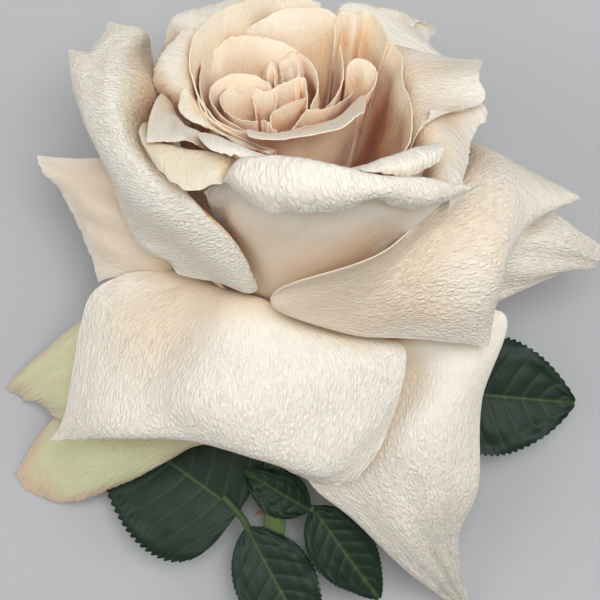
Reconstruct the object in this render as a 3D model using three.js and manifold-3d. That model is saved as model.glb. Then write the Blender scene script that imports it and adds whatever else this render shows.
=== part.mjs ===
// Cut garden rose, laid down: the bloom leans back on its outer petals and the stem runs out along the table.
// Millimetres, +Z up, the table at z = 0. Right of the bloom is +X, and the stem runs out towards -Y.
import * as THREE from 'three';
import { mergeVertices } from 'three/addons/utils/BufferGeometryUtils.js';
import Module from 'manifold-3d';

const wasm = await Module();
wasm.setup();

// ---- Driving dimensions
const BLOOM_TILT = 38;            // degrees of the bloom's axis above the table
const BLOOM_LEAN = 0.05;          // sideways lean of the axis, as part of its length
const BASE_HEIGHT = 32.1;         // the bloom's base point above the table
const BASE_PLACE = [-2.1, 39.9];  // x and y of the base point, so that the box is centred on the origin
const OUTER_THICK = 0.7;
const CUP_THICK = 0.62;
const HEART_THICK = 0.6;
const CUP_REFERENCE = 50;         // height at which the cup's flare is full
const LEAF_THICK = 0.7;
const STEM_RADIUS = 2.6;
const NECK_RADIUS = 3.1;          // stem radius where it meets the hip
const NECK_HEIGHT = -15;          // the stem starts here on the bloom's axis
const STEM_RUN = 74;              // length that lies flat on the table
const PRICKLE = { base: 1.9, breadth: 0.95, length: 3.6, sink: 1.2, hook: 1.3 };
const LEAF_WAIST = 0.45;          // least half width of a leaflet, at its ends
const LEAF_CUP = 0.006;           // how far a leaflet's edges curl down, by the square of its half width
const TOOTH = { notch: 0.9, point: 0.012 };  // half width between teeth, and how far their points lean to the tip
const SEPAL_THICK = 0.8;

// Finished sizes of the grids that the blades are built on
const OUTER_GRID = [9, 8];
const CUP_GRID = [8, 7];
const HEART_GRID = [6, 4];

// ---- Places round the bloom's axis
const degrees = THREE.MathUtils.degToRad;
const BASE = new THREE.Vector3(BASE_PLACE[0], BASE_PLACE[1], BASE_HEIGHT);
const AXIS = new THREE.Vector3(BLOOM_LEAN, Math.cos(degrees(BLOOM_TILT)), Math.sin(degrees(BLOOM_TILT))).normalize();
const FRONT = new THREE.Vector3(0, 0, 1).addScaledVector(AXIS, -AXIS.z).normalize();
const RIGHT = new THREE.Vector3().crossVectors(AXIS, FRONT);

// A point by azimuth (0 right, 90 front), radius and height on the bloom's axis
function bloomPoint([azimuth, radius, height]) {
  const a = degrees(azimuth);
  return BASE.clone().addScaledVector(AXIS, height)
    .addScaledVector(RIGHT, radius * Math.cos(a)).addScaledVector(FRONT, radius * Math.sin(a));
}

// A point by its offset from the bloom's base, in table directions
const tablePoint = ([x, y, z]) => new THREE.Vector3(x, y, z).add(BASE);

// ---- Shapes of the petals
// Outer petals: rows from the claw to the rim, each from one side to the other, as table offsets.
// Cup and heart petals: the rim, and where it rolls over also the lip, as azimuth, radius and height; their
// claw stands on a ring of the receptacle, and the wall between is the cup's own curve.
const OUTER_PETALS = {
  front_low: [
    [[-7.1, -6.1, 7.5], [-4.8, -7, 8.5], [-2.3, -7.6, 9], [0.4, -7.8, 9.1]],
    [[-17.5, 1.6, 5.5], [-12.9, -1.5, 7.4], [-8.1, -2.1, 11.8], [-4.2, -3.2, 13.8], [1.8, -7.4, 8.8]],
    [[-39.5, 2.7, 0.5], [-31.2, -3.4, 5], [-22.8, -6.7, 9.5], [-14.4, -9.4, 17.5], [0.6, -14.6, 18], [13.2, -12.3, 15], [23.1, -9.8, 11.5]],
    [[-45, -6.8, -3], [-37.2, -14.9, 4.5], [-28.7, -18.9, 8.5], [-19.5, -21.7, 15], [-1.5, -27, 16], [11.8, -25.5, 14], [23.6, -17.5, 10.5]],
    [[-49.2, -26.1, -6], [-40, -28.1, 3], [-21.3, -29.6, 10], [-4.6, -34.5, 11], [8.8, -37.5, 10], [20.5, -29.7, 9]],
    [[-53.2, -32.2, -8], [-41, -30.7, -1], [-21.7, -29.7, 5], [-5.4, -34.3, 5], [10, -40.3, 6], [14.7, -38.4, 9]],
  ],
  front_right: [
    [[1, -5.5, 9.5], [3.6, -5.3, 8.9], [6, -4.7, 8], [8, -3.7, 6.6]],
    [[-1.9, 0.9, 27], [-2.7, -0.5, 24], [-2.4, -1.9, 23.4], [-0.2, -3.7, 21.4]],
    [[19.1, 8.8, 39], [16.3, 6.3, 35], [14.8, -0.9, 25], [14.4, -8.2, 17]],
    [[36.1, 21.1, 31], [33.9, 15.5, 30], [31.6, 6.5, 30], [30.1, -1.9, 26], [29.3, -9.2, 18]],
    [[42.7, 27.6, 20], [44.2, 20.7, 26], [42.4, 12.7, 29], [40.2, 4, 27], [38.1, -3.9, 22], [36.8, -10.1, 16]],
    [[59.2, 20.7, 13], [55.9, 19, 16], [48.6, 14.3, 21], [43.4, 6.1, 22], [42.1, -1.9, 17], [41.3, -10.4, 13]],
    [[58.7, 20.1, 10], [55, 18.6, 10], [48.4, 14.4, 12], [43.1, 6.3, 13], [41.5, -1.5, 10], [40.6, -9.5, 9]],
  ],
  right_back: [
    [[9.2, -5.4, 5.4], [10.7, -4.1, 3.6], [11.6, -2.6, 1.6], [12, -1, -0.5]],
    [[19.2, 5.2, 1.6], [18.2, 0.8, 8.9], [13.1, -5.9, 13.1]],
    [[31.7, 14.7, 10], [29.9, 5.3, 11], [28.9, -3.4, 6]],
    [[52.5, 18.6, 4], [47.4, 11.6, 9], [43.4, 5, 8], [41.9, -1.8, 2]],
    [[63, 14, -1], [60.7, 10.8, 2], [57.1, 6.8, 2], [53.5, 2.6, -2]],
    [[71.7, 9.3, -8], [71.2, 8.6, -8], [68.8, 7.3, -8], [65.5, 6.4, -8]],
  ],
  left_long: [
    [[-10.8, 1.1, 2], [-10.2, -0.6, 4], [-9.1, -2.1, 5.9], [-7.4, -3.4, 7.4]],
    [[-25.4, 35.4, -1], [-25.2, 28, 6.8], [-25.4, 18, 11.6], [-22.5, 10, 15.1], [-14, 2.8, 15.5]],
    [[-29, 50.4, -0.3], [-27.4, 44.4, 13], [-28.6, 33.1, 21], [-19.3, 19.9, 34], [-10.5, 10.9, 31], [-5.6, 1.5, 20.5]],
    [[-29.2, 54, 12], [-34.2, 44.2, 24], [-32.6, 33, 30], [-25.5, 18.3, 31.5], [-16.4, 9.5, 27], [-8.1, 0.7, 19]],
    [[-33.8, 55.1, 15], [-36.3, 50.3, 19], [-39.4, 45.9, 21], [-38.5, 35.7, 24], [-32.6, 20.9, 24], [-24.6, 10.6, 19], [-15.4, 3.8, 14]],
    [[-37.3, 56.9, 13], [-38.3, 52.4, 16], [-40.4, 49.6, 17], [-44.4, 50.4, 16], [-43.4, 40.6, 15], [-37.4, 27, 12], [-28.9, 10.3, 11], [-21.9, 6, 10]],
  ],
  left_back: [
    [[-11, 3, -3.7], [-11.8, 1.4, -1.7], [-12, -0.2, 0.4], [-11.6, -1.8, 2.5]],
    [[-16, 15.5, -5], [-14.8, 8.9, -3], [-13.1, 3.5, -4]],
    [[-36, 28.7, 1], [-32.3, 19.2, 5], [-29.2, 9.7, 4], [-26.4, 3.8, 0]],
    [[-46.3, 29.7, -3], [-43.5, 22.7, 1], [-39.6, 13, 1], [-36.5, 4.3, -3]],
    [[-55.9, 31.2, -9], [-52.4, 25.5, -7], [-46.7, 17.1, -6], [-41.8, 3.1, -8]],
  ],
  left_guard: [
    [[-13.1, -1.2, -1.5], [-12.9, -2.8, 0.6], [-12.2, -4.4, 2.6], [-11, -5.9, 4.4]],
    [[-19.3, 0.2, -6], [-18.1, -5.3, -4], [-17, -11.8, -4]],
    [[-39.9, -2, -12], [-37.3, -10.9, -9.5], [-35.2, -19.8, -10]],
    [[-52.7, -9.6, -19], [-51.2, -15, -17], [-48.4, -22.4, -16], [-46.2, -28.1, -16.5]],
    [[-67.5, -21.6, -31.8], [-63.7, -23.6, -30.4], [-58.3, -25.3, -27], [-55.1, -27.6, -24.5]],
  ],
  low_guard: [
    [[-9.1, -7.4, 6.1], [-7, -8.5, 7.4], [-4.6, -9.3, 8.2], [-2.1, -9.8, 8.7]],
    [[-12.9, -12.3, 2.2], [-11.1, -14.4, 4.7], [-6.1, -16.4, 6.8]],
    [[-36.2, -18.7, -18.5], [-31.2, -23.9, -14.5], [-22.9, -28.7, -10], [-16.2, -31.9, -9]],
    [[-53.1, -27.1, -26.5], [-49.3, -34.4, -22], [-39.4, -37.6, -16.5], [-23.2, -34.5, -12.5]],
    [[-64.8, -42.2, -31.2], [-62, -46.5, -31.6], [-54.1, -48.6, -29.5], [-43.8, -45.9, -24], [-33.9, -41, -18]],
  ],
  right_low: [
    [[-0.1, -10, 8.7], [2.6, -9.9, 8.4], [5.1, -9.5, 7.7], [7.4, -8.8, 6.6]],
    [[-2.9, -14.3, 8.8], [2.6, -13.7, 10], [8, -11.9, 8.9], [11.7, -9.4, 6.3]],
    [[-0.6, -24.6, -1], [11.1, -22.2, 3], [23.8, -16.8, 3.5], [34, -11.4, 8], [45.1, -3.6, 8]],
    [[3.7, -38.9, -3], [13.3, -35.2, 1], [24.8, -30.5, 5], [34.2, -26.2, 6], [41.7, -21.8, 2]],
    [[12.5, -47.8, -7], [20, -46.5, -3], [27.3, -43.9, 0], [34.7, -40.5, 1], [41.3, -40, -3]],
    [[28, -63.4, -17], [30.6, -59.7, -13], [33.4, -57.1, -11], [36, -55.5, -11], [38, -54.7, -13]],
    [[41.1, -75, -31.6], [42, -75, -31.2], [42.9, -74.6, -30.8], [43.6, -73.9, -30.5]],
  ],
  back_left: [
    [[-4.6, 6.6, -8.9], [-7, 5.9, -7.8], [-9, 4.9, -6.3], [-10.5, 3.6, -4.6]],
    [[-8.2, 16.1, -11.8], [-13.7, 14.1, -8.8], [-17.9, 11.2, -4.7]],
    [[-11.7, 31.8, -23.5], [-19.3, 30, -20.6], [-26.1, 27.3, -16.5], [-31.7, 23.7, -11.5], [-35.9, 19.4, -5.7]],
    [[-13.9, 34.4, -29.9], [-22.9, 32.3, -26.5], [-30.9, 29.1, -21.7], [-37.5, 24.9, -15.8], [-42.4, 19.9, -9]],
    [[-22.9, 30.2, -32], [-28, 28.5, -29.3], [-32.8, 26.4, -26.2], [-37, 23.9, -22.7], [-40.7, 21.1, -18.8]],
  ],
  back_mid: [
    [[4.3, 6.3, -9.2], [1.8, 6.8, -9.7], [-0.9, 7, -9.7], [-3.5, 6.8, -9.2]],
    [[7.7, 19, -10.2], [1.3, 20, -11], [-5.2, 19.8, -10.2]],
    [[16.6, 30.4, -17.3], [9.5, 32.2, -19.1], [2.1, 33.2, -19.7], [-5.4, 33.2, -19.1], [-12.6, 32.2, -17.3]],
    [[19.6, 32.5, -23.5], [11.2, 34.8, -25.7], [2.3, 35.9, -26.5], [-6.7, 35.9, -25.7], [-15.3, 34.7, -23.5]],
    [[13.1, 32, -30.5], [7.6, 33, -31.2], [2.1, 33.5, -31.5], [-3.4, 33.7, -31.2], [-8.9, 33.4, -30.5]],
  ],
  back_right: [
    [[11, 2.1, -4.4], [9.6, 3.6, -6.2], [7.8, 4.9, -7.7], [5.6, 5.9, -8.8]],
    [[19.3, 8.8, -4.3], [15.7, 12.3, -8.5], [10.5, 15, -11.6]],
    [[38.3, 14.5, -5], [34.8, 19.3, -10.9], [29.8, 23.6, -16], [23.6, 27.2, -20.2], [16.3, 30, -23.2]],
    [[44.9, 14, -8.2], [40.7, 19.7, -15.1], [34.9, 24.7, -21.2], [27.5, 29, -26], [18.9, 32.3, -29.6]],
    [[43.5, 15.5, -18.1], [40.3, 18.7, -22.1], [36.5, 21.8, -25.6], [32.1, 24.5, -28.8], [27.3, 26.9, -31.5]],
  ],
};
const CUP_PETALS = {
  cup_front: { ring: 9.8, foot: 3, claw: 13, az: 84, left: 28, right: -12, tuck: 0.17, roll: 2.2,
    rim: [[116, 26.7, 46.5], [112, 25.8, 48.5], [98.5, 26.6, 50.5], [84, 28.6, 51.5], [71.5, 31.2, 51.5], [61, 33.4, 50.5], [49, 35.8, 49], [40.5, 37.6, 47], [35.5, 39.1, 45.5]],
    lip: [[117, 26.2, 44], [112, 27, 42.6], [101, 28.7, 41.1], [87.5, 29.9, 42.1], [72, 31.4, 43], [63, 32.4, 45.1], [52, 33.9, 42.3], [38, 36.2, 42], [28.5, 37.5, 42]] },
  cup_front_left: { ring: 9.8, foot: 3, claw: 7, az: -210, tuck: 0.12, roll: 1,
    rim: [[-180, 29.3, 41], [-200, 28.4, 42.5], [-211, 25.7, 43.5], [-223, 22.7, 44.5], [-237, 22.5, 45.8]],
    lip: [[169.5, 30.4, 41.6], [157.5, 30.1, 40.5], [144, 29.5, 39.6], [132, 28.5, 39.4], [120, 25.9, 43.7]] },
  cup_left_wall: { ring: 8.7, foot: 4.5, claw: 7, az: -187, roll: 1,
    rim: [[-163.5, 29.9, 43], [-165, 27.7, 42.5], [-176.5, 24.5, 42.5], [-191.5, 22.3, 43.5], [-201.5, 20.5, 44]],
    lip: [[158.5, 29.9, 43.5], [154, 28.4, 44.1], [151, 26.3, 44.7], [146.5, 24.4, 46], [142, 23.2, 46.7]] },
  cup_front_inner: { ring: 7.6, foot: 6, claw: 7, az: 111, tuck: 0.03, roll: 0.8,
    rim: [[148.5, 21.1, 46], [138.5, 20.6, 47.3], [122.5, 21.6, 48.5], [107, 22.6, 49], [96.5, 23.4, 49.3], [85.5, 24.2, 49.3], [71, 23.7, 48]],
    lip: [[135.5, 24.3, 48.1], [128.5, 24.7, 47.6], [120.5, 24.5, 47.8], [112, 24.3, 48.3], [102.5, 23.8, 48.2], [89.5, 24.3, 48.5], [73, 25.4, 48.6]] },
  cup_right_inner: { ring: 7.6, foot: 6, claw: 7, az: 47, roll: 1.4,
    rim: [[69, 25.7, 48.5], [58.5, 26.8, 49], [53, 27.2, 49.5], [46.5, 27.7, 49.5], [34.5, 28.7, 49.5], [24.5, 29.8, 48]],
    lip: [[68, 27.3, 48.8], [60, 29.3, 48.7], [49, 30.7, 46.8], [42, 31, 46.6], [34.5, 31.7, 46.8], [28.5, 31.3, 47.4]] },
  cup_left_upper: { ring: 7.6, foot: 6, claw: 7, az: -160,
    rim: [[-168.5, 22, 44.5], [-160, 24, 47.5], [-151, 26.4, 50.5], [-140.5, 28, 52]],
    lip: [[-161, 25.9, 41.5], [-156, 32.7, 42], [-152.5, 33.2, 46], [-144, 29.9, 52]] },
  cup_back_left: { ring: 8.7, foot: 4.5, claw: 7, az: -133,
    rim: [[-140.5, 38.9, 40], [-137, 39.1, 44], [-135.5, 35.7, 49], [-130, 31.8, 52], [-120, 30.2, 53.5], [-106.5, 32.5, 53.5]],
    lip: [[-140.5, 39.9, 40.5], [-137.5, 39.9, 44.5], [-133.5, 40.6, 48], [-126.5, 38.2, 50], [-116.5, 35.7, 52], [-104.5, 38.8, 52]] },
  cup_right_upper: { ring: 8.7, foot: 4.5, claw: 7, az: -16,
    rim: [[-49, 26.3, 51], [-36, 25.2, 51], [-20.5, 23.3, 49.5], [-5, 22.9, 47.5], [14.5, 24, 45.5]],
    lip: [[-33, 35.2, 47], [-35, 45.8, 45], [-21, 38.6, 47.5], [-17.5, 39.1, 45], [1, 25.4, 48]] },
  cup_right_low: { ring: 9.8, foot: 3, claw: 7, az: 3,
    rim: [[33, 32.5, 41], [13.5, 26.6, 42.5], [1, 24.8, 45.3], [-16, 28.9, 44], [-22, 34.8, 42.5], [-26, 40.6, 40.5]],
    lip: [[34, 35, 37], [20, 34.4, 38.7], [-3.5, 34.7, 38], [-13, 37.4, 39], [-18.5, 40.4, 39.5], [-24, 41.3, 40]] },
  cup_back_right: { ring: 9.8, foot: 3, claw: 7, az: -70,
    rim: [[-75.5, 32.2, 54], [-67.5, 35.4, 52], [-60.5, 38.8, 50], [-58, 44.3, 47]],
    lip: [[-43.5, 41.4, 42], [-50, 44.5, 42], [-56.5, 49.5, 41], [-59.5, 58.5, 39]] },
};
const HEART_PETALS = {
  back_left: { ring: 6.3, foot: 7.2, claw: 7, az: 221.12,
    rim: [[165.5, 17.6, 46.8], [181, 19.5, 48.5], [196.5, 22.1, 51.5], [210.5, 24, 55], [225, 24.5, 57], [239.5, 23.9, 58], [258, 25.7, 58], [277, 24, 57]], },
  back: { ring: 6, foot: 7.2, claw: 7, az: -101.61,
    rim: [[-131.5, 20.4, 53], [-115, 20, 55.5], [-103, 20.6, 57], [-92, 21.5, 57], [-81.5, 23.3, 56.5], [-76, 24.5, 55], [-72, 22.6, 54]], },
  top_right: { ring: 6.2, foot: 7.2, claw: 7, az: -57.24,
    rim: [[-71.5, 20.7, 54], [-71.5, 25.2, 56], [-65, 24.6, 56], [-63.5, 27.9, 55.5], [-55.5, 26, 55], [-43, 22.4, 54]], },
  right: { ring: 6.2, foot: 7.2, claw: 7, az: -8.15,
    rim: [[-46, 23.2, 53.5], [-34.5, 22.8, 53], [-21, 20.7, 52], [-10.5, 20.1, 51], [0.5, 21, 50], [14.5, 22.1, 48], [22.5, 22.9, 46], [29.5, 22.6, 44]], },
  left_back2: { ring: 5.6, foot: 7.4, claw: 7, az: -116.46,
    rim: [[-137.5, 22.9, 50], [-134, 22.6, 51.5], [-128, 20.8, 52.5], [-119, 17.8, 53], [-107, 15.6, 52.5], [-95.5, 13.5, 51.5]], },
  left2: { ring: 5.8, foot: 7.4, claw: 7, az: -183.22,
    rim: [[-138, 22.5, 50], [-144, 23.3, 49.5], [-156, 21.5, 48.5], [-172.5, 19.2, 47.5], [-189.5, 17.4, 47], [-206, 16, 46.5], [-219, 14.7, 46.5], [-228.5, 13.3, 46.5]], },
  left_rim1: { ring: 6.3, foot: 7.2, claw: 7, az: -214.96, roll: 0.6,
    rim: [[-173, 22.8, 47.3], [-178, 21.4, 46.4], [-186, 19.9, 45.6], [-199.5, 18.5, 45.6], [-214.5, 17.4, 45.8], [-232, 16.7, 46], [-246.5, 17.5, 46.4], [-257, 18.1, 46.6]],
    lip: [[-174.5, 23.7, 45.5], [-180, 23.7, 44.8], [-188.5, 22.2, 44.6], [-199.5, 19.7, 44.8], [-211.5, 17.9, 45], [-230.5, 17.5, 45.6], [-247, 17.9, 46.2], [-257, 17.8, 46.3]] },
  left_rim2: { ring: 6.1, foot: 7.2, claw: 7, az: -218.04,
    rim: [[-179, 19.2, 47], [-191, 18.1, 46.4], [-202.5, 16.8, 46], [-214, 15.3, 45.7], [-229, 14.5, 45.7], [-244.5, 14.7, 45.8], [-257, 15.1, 45.8]], },
  left3: { ring: 5, foot: 8, claw: 7, az: -182.89,
    rim: [[-142.5, 10.6, 49], [-147.5, 13.5, 49], [-154, 15.9, 48.5], [-162.5, 17.6, 47.5], [-173, 17.4, 47], [-187, 15.8, 46.5], [-202, 14.1, 46], [-212, 12.6, 45.5], [-223, 12.2, 45.5]], },
  left4: { ring: 4.2, foot: 8, claw: 7, az: -168.69,
    rim: [[-146, 10, 47], [-150, 13.7, 46.5], [-161, 15.4, 46], [-170, 15.4, 45.5], [-182.5, 13.7, 45], [-188.5, 11.4, 44.5], [-191.5, 7.9, 44]], },
  front3: { ring: 5.8, foot: 7, claw: 7, az: 55.7, roll: 0.8,
    rim: [[132.5, 13.6, 46.5], [117, 13, 47], [102.5, 12.3, 47.5], [86.5, 11.4, 48], [65, 10.4, 48], [38.5, 9.8, 48], [4.5, 10, 47.5], [-21, 13, 47]],
    lip: [[119, 17.6, 48.5], [107.5, 17.4, 48.6], [98, 17.1, 49], [87, 16.9, 49.9], [73.5, 16.9, 50.8], [61.5, 17.4, 52], [52, 16.9, 53.7], [46.5, 16.9, 54.3]] },
  front2: { ring: 5, foot: 8, claw: 7, az: 62.2,
    rim: [[116, 9, 45.5], [100, 7.6, 46], [75.5, 6.7, 46.5], [38.5, 6.7, 46.5], [8.5, 9.2, 46]], },
  front1: { ring: 4.6, foot: 8, claw: 7, az: 31.49,
    rim: [[104, 5.7, 45], [91.5, 4, 46], [60, 3, 47.5], [11, 5.2, 47.5], [-22, 9, 47], [-41, 13.7, 46]], },
  right_curl: { ring: 5.4, foot: 7, claw: 7, az: -40.46,
    rim: [[-53, 15.5, 49], [-51.5, 16.7, 50.5], [-46.5, 17.7, 51], [-40, 18, 50.5], [-32, 17.1, 49], [-26, 15.4, 47.5], [-28, 13.8, 46]], },
  right_edge: { ring: 4.8, foot: 8, claw: 7, az: -55.77,
    rim: [[-68, 19.5, 51], [-57.5, 15.2, 50.5], [-42, 11, 49], [-34, 8.6, 47], [-43.5, 7.4, 44]], },
  core_wrap: { ring: 3.6, foot: 9, claw: 7, az: -62.59,
    rim: [[-101.5, 14.7, 50], [-93, 14.1, 51], [-82.5, 12, 51], [-69.5, 9.6, 50], [-53.5, 6.6, 48.5], [-24, 3.3, 46]], },
  core_bud: { ring: 2.4, foot: 10, claw: 7, az: -104.3,
    rim: [[-112, 11, 47], [-109.5, 13, 49], [-106.5, 12.6, 50.5], [-99.5, 12.4, 51], [-92, 10.9, 50.5], [-88, 9.6, 49], [-96.5, 8, 48]], },
  core_bit: { ring: 2.2, foot: 10, claw: 7, az: -125.92,
    rim: [[-134, 9.4, 46.5], [-130, 11.4, 48], [-125, 11.9, 49.5], [-120, 11.4, 50], [-117, 10.5, 49], [-117.5, 9.6, 47]], },
  core_mid: { ring: 2.8, foot: 9, claw: 7, az: -94.57,
    rim: [[-137.5, 8.3, 46.5], [-123, 7.7, 47.5], [-102, 8.1, 48], [-86, 9.4, 48], [-78.5, 6.2, 47], [-51.5, 2, 45.5]], },
  core_left: { ring: 3.2, foot: 9, claw: 7, az: -155.4,
    rim: [[-173.5, 7.9, 43], [-153, 9.8, 44.5], [-152, 10.4, 46], [-146, 9, 46.5], [-134, 7.9, 46.5], [-137, 6.3, 46]], },
  core_low: { ring: 3.8, foot: 9, claw: 7, az: 212.56,
    rim: [[139.5, 6.4, 43.5], [160.5, 5.3, 45], [182, 3.6, 46], [238, 2.2, 46.5], [286, 4.8, 46]], },
  core_tip: { ring: 4.2, foot: 9, claw: 7, az: 140.74,
    rim: [[155.5, 7.6, 45], [147, 7.2, 45.5], [136.5, 7, 45], [126, 6.5, 44]], },
};

// ---- Curves and blades
// Knots by chord length, eased so that uneven points still give an even surface
function chordKnots(points) {
  const knots = [0];
  for (let i = 1; i < points.length; i++) {
    knots.push(knots[i - 1] + Math.max(points[i].distanceTo(points[i - 1]), 1e-3) ** 0.75);
  }
  return knots.map((k) => k / knots[knots.length - 1]);
}

function splineAt(points, knots, t) {
  const last = points.length - 1;
  let i = 0;
  while (i < last - 1 && t >= knots[i + 1]) i++;
  const slope = (j) => points[j + 1].clone().sub(points[j]).divideScalar(knots[j + 1] - knots[j]);
  const inner = (j) => {
    const before = knots[j] - knots[j - 1];
    const after = knots[j + 1] - knots[j];
    return slope(j - 1).multiplyScalar(after).addScaledVector(slope(j), before).divideScalar(before + after);
  };
  const tangent = (j) => {
    if (last === 1) return slope(0);
    if (j === 0) return slope(0).multiplyScalar(1.5).addScaledVector(inner(1), -0.5);
    if (j === last) return slope(last - 1).multiplyScalar(1.5).addScaledVector(inner(last - 1), -0.5);
    return inner(j);
  };
  const h = knots[i + 1] - knots[i];
  const s = (t - knots[i]) / h;
  return points[i].clone().multiplyScalar(2 * s ** 3 - 3 * s ** 2 + 1)
    .addScaledVector(tangent(i), (s ** 3 - 2 * s ** 2 + s) * h)
    .addScaledVector(points[i + 1], 3 * s ** 2 - 2 * s ** 3)
    .addScaledVector(tangent(i + 1), (s ** 3 - s ** 2) * h);
}

// Smooth surface through the rows, as a grid of across x along points
function surfaceGrid(rows, [across, along]) {
  const rowKnots = rows.map(chordKnots);
  const column = (u) => rows.map((row, j) => splineAt(row, rowKnots[j], u));
  const samples = [0, 1, 2, 3, 4, 5, 6].map((k) => chordKnots(column(k / 6)));
  const knots = rows.map((_, j) => samples.reduce((sum, k) => sum + k[j], 0) / samples.length);
  const columns = Array.from({ length: across + 1 }, (_, i) => column(i / across));
  return Array.from({ length: along + 1 }, (_, j) => columns.map((c) => splineAt(c, knots, j / along)));
}

function geometryFrom(points, triangles) {
  const geometry = new THREE.BufferGeometry();
  geometry.setAttribute('position', new THREE.Float32BufferAttribute(points.flatMap((p) => [p.x, p.y, p.z]), 3));
  geometry.setIndex(triangles.flat());
  return geometry;
}

// Blade of even thickness about a grid of points, with alike triangles on both faces
function bladeFrom(grid, thickness) {
  const height = grid.length;
  const width = grid[0].length;
  const at = (j, i) => grid[Math.min(Math.max(j, 0), height - 1)][Math.min(Math.max(i, 0), width - 1)];
  const offset = (side) => grid.flatMap((row, j) => row.map((p, i) => {
    const normal = at(j, i + 1).clone().sub(at(j, i - 1)).cross(at(j + 1, i).clone().sub(at(j - 1, i))).normalize();
    return p.clone().addScaledVector(normal, side * thickness / 2);
  }));
  const points = [...offset(1), ...offset(-1)];
  const back = height * width;
  const triangles = [];
  for (let j = 0; j < height - 1; j++) {
    for (let i = 0; i < width - 1; i++) {
      const [a, b, c, d] = [j * width + i, j * width + i + 1, (j + 1) * width + i + 1, (j + 1) * width + i];
      triangles.push([a, b, c], [a, c, d], [back + a, back + c, back + b], [back + a, back + d, back + c]);
    }
  }
  const rim = [];
  for (let i = 0; i < width; i++) rim.push(i);
  for (let j = 1; j < height; j++) rim.push(j * width + width - 1);
  for (let i = width - 2; i >= 0; i--) rim.push((height - 1) * width + i);
  for (let j = height - 2; j > 0; j--) rim.push(j * width);
  rim.forEach((a, k) => {
    const b = rim[(k + 1) % rim.length];
    triangles.push([a, back + b, b], [a, back + a, back + b]);
  });
  return geometryFrom(points, triangles);
}

// ---- Joining bodies
function manifoldOf(geometry) {
  const bare = new THREE.BufferGeometry();
  bare.setAttribute('position', geometry.getAttribute('position'));
  bare.setIndex(geometry.getIndex());
  const merged = mergeVertices(bare, 1e-4);
  const mesh = new wasm.Mesh({
    numProp: 3,
    vertProperties: new Float32Array(merged.getAttribute('position').array),
    triVerts: new Uint32Array(merged.getIndex().array),
  });
  return new wasm.Manifold(mesh);
}

function fuse(geometries) {
  const body = geometries.map(manifoldOf).reduce((sum, next) => sum.add(next));
  const mesh = body.getMesh();
  const geometry = new THREE.BufferGeometry();
  geometry.setAttribute('position', new THREE.Float32BufferAttribute(mesh.vertProperties, 3));
  geometry.setIndex([...mesh.triVerts]);
  return geometry;
}

// ---- Petals
// How far the cup has flared at a share of its reference height
const FLARE = 0.4 * Math.PI;
const flare = (share) => Math.sin(Math.min(Math.max(share, 0), 1.35) * FLARE) / Math.sin(FLARE);
const WALL_SHARES = [0.22, 0.5, 0.78];
const CLAW_FOLLOW = 0.62;         // share of its rim's spread that a cup petal keeps at the claw
const HEART_CORE = [[0, 7.1], [5.7, 7.1], [6.6, 12], [7.6, 20], [7.4, 28], [6, 34], [3.6, 38], [0, 40]];

function cupRows({ ring, foot, claw, az, rim, lip, left = 0, right = 0, tuck = 0, roll = 1.6 }) {
  const last = rim.length - 1;
  const halfClaw = THREE.MathUtils.radToDeg(claw / 2 / ring);
  const sense = rim[0][0] > rim[last][0] ? 1 : -1;
  const side = (i) => sense * (1 - 2 * i / last);
  const rows = [rim.map((_, i) => bloomPoint([az + halfClaw * side(i), ring, foot]))];
  for (const share of WALL_SHARES) {
    const swell = Math.sin(Math.PI * share);
    const follow = CLAW_FOLLOW + (1 - CLAW_FOLLOW) * Math.sin(share * Math.PI / 2);
    rows.push(rim.map(([a, r, h], i) => {
      const top = (h - foot) / (CUP_REFERENCE - foot);
      const azimuth = az + (a - az) * follow + left * (1 - i / last) ** 2 * Math.sin(Math.PI * Math.min(share * 1.15, 1))
        - right * (i / last) ** 2 * swell;
      const radius = ring + (r - ring) / flare(top) * flare(top * share) * (1 - tuck * swell);
      return bloomPoint([azimuth, radius, foot + (h - foot) * share]);
    }));
  }
  rows.push(rim.map(bloomPoint));
  if (lip) {
    const crest = rows[rows.length - 1];
    const edge = lip.map(bloomPoint);
    rows.push(crest.map((p, i) => {
      const middle = p.clone().add(edge[i]).divideScalar(2);
      const out = middle.clone().sub(BASE);
      out.addScaledVector(AXIS, -out.dot(AXIS)).normalize().addScaledVector(AXIS, 0.6).normalize();
      return middle.addScaledVector(out, Math.min(roll, p.distanceTo(edge[i]) * 0.35));
    }), edge);
  }
  return rows;
}

const outerPetal = (rows) => bladeFrom(surfaceGrid(rows.map((row) => row.map(tablePoint)), OUTER_GRID), OUTER_THICK);
const cupPetal = (shape) => bladeFrom(surfaceGrid(cupRows(shape), CUP_GRID), CUP_THICK);

// The heart: its core and every petal that stands in the spiral, grown together
function heart() {
  const petals = Object.values(HEART_PETALS).map((shape) => outward(bladeFrom(surfaceGrid(cupRows(shape), HEART_GRID), HEART_THICK)));
  return fuse([outward(turned(HEART_CORE, 16)), ...petals]);
}

// ---- Turned, swept and grown bodies
// Body of revolution about the bloom's axis from radius and height pairs
function turned(profile, sides) {
  const inner = profile.slice(1, -1);
  const points = [bloomPoint([0, ...profile[0]]), bloomPoint([0, ...profile[profile.length - 1]])];
  inner.forEach(([radius, height]) => {
    for (let k = 0; k < sides; k++) points.push(bloomPoint([360 * k / sides, radius, height]));
  });
  const at = (j, k) => 2 + j * sides + k % sides;
  const triangles = [];
  for (let k = 0; k < sides; k++) {
    triangles.push([0, at(0, k + 1), at(0, k)], [1, at(inner.length - 1, k), at(inner.length - 1, k + 1)]);
    for (let j = 0; j < inner.length - 1; j++) {
      triangles.push([at(j, k), at(j, k + 1), at(j + 1, k + 1)], [at(j, k), at(j + 1, k + 1), at(j + 1, k)]);
    }
  }
  return geometryFrom(points, triangles);
}

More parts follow.
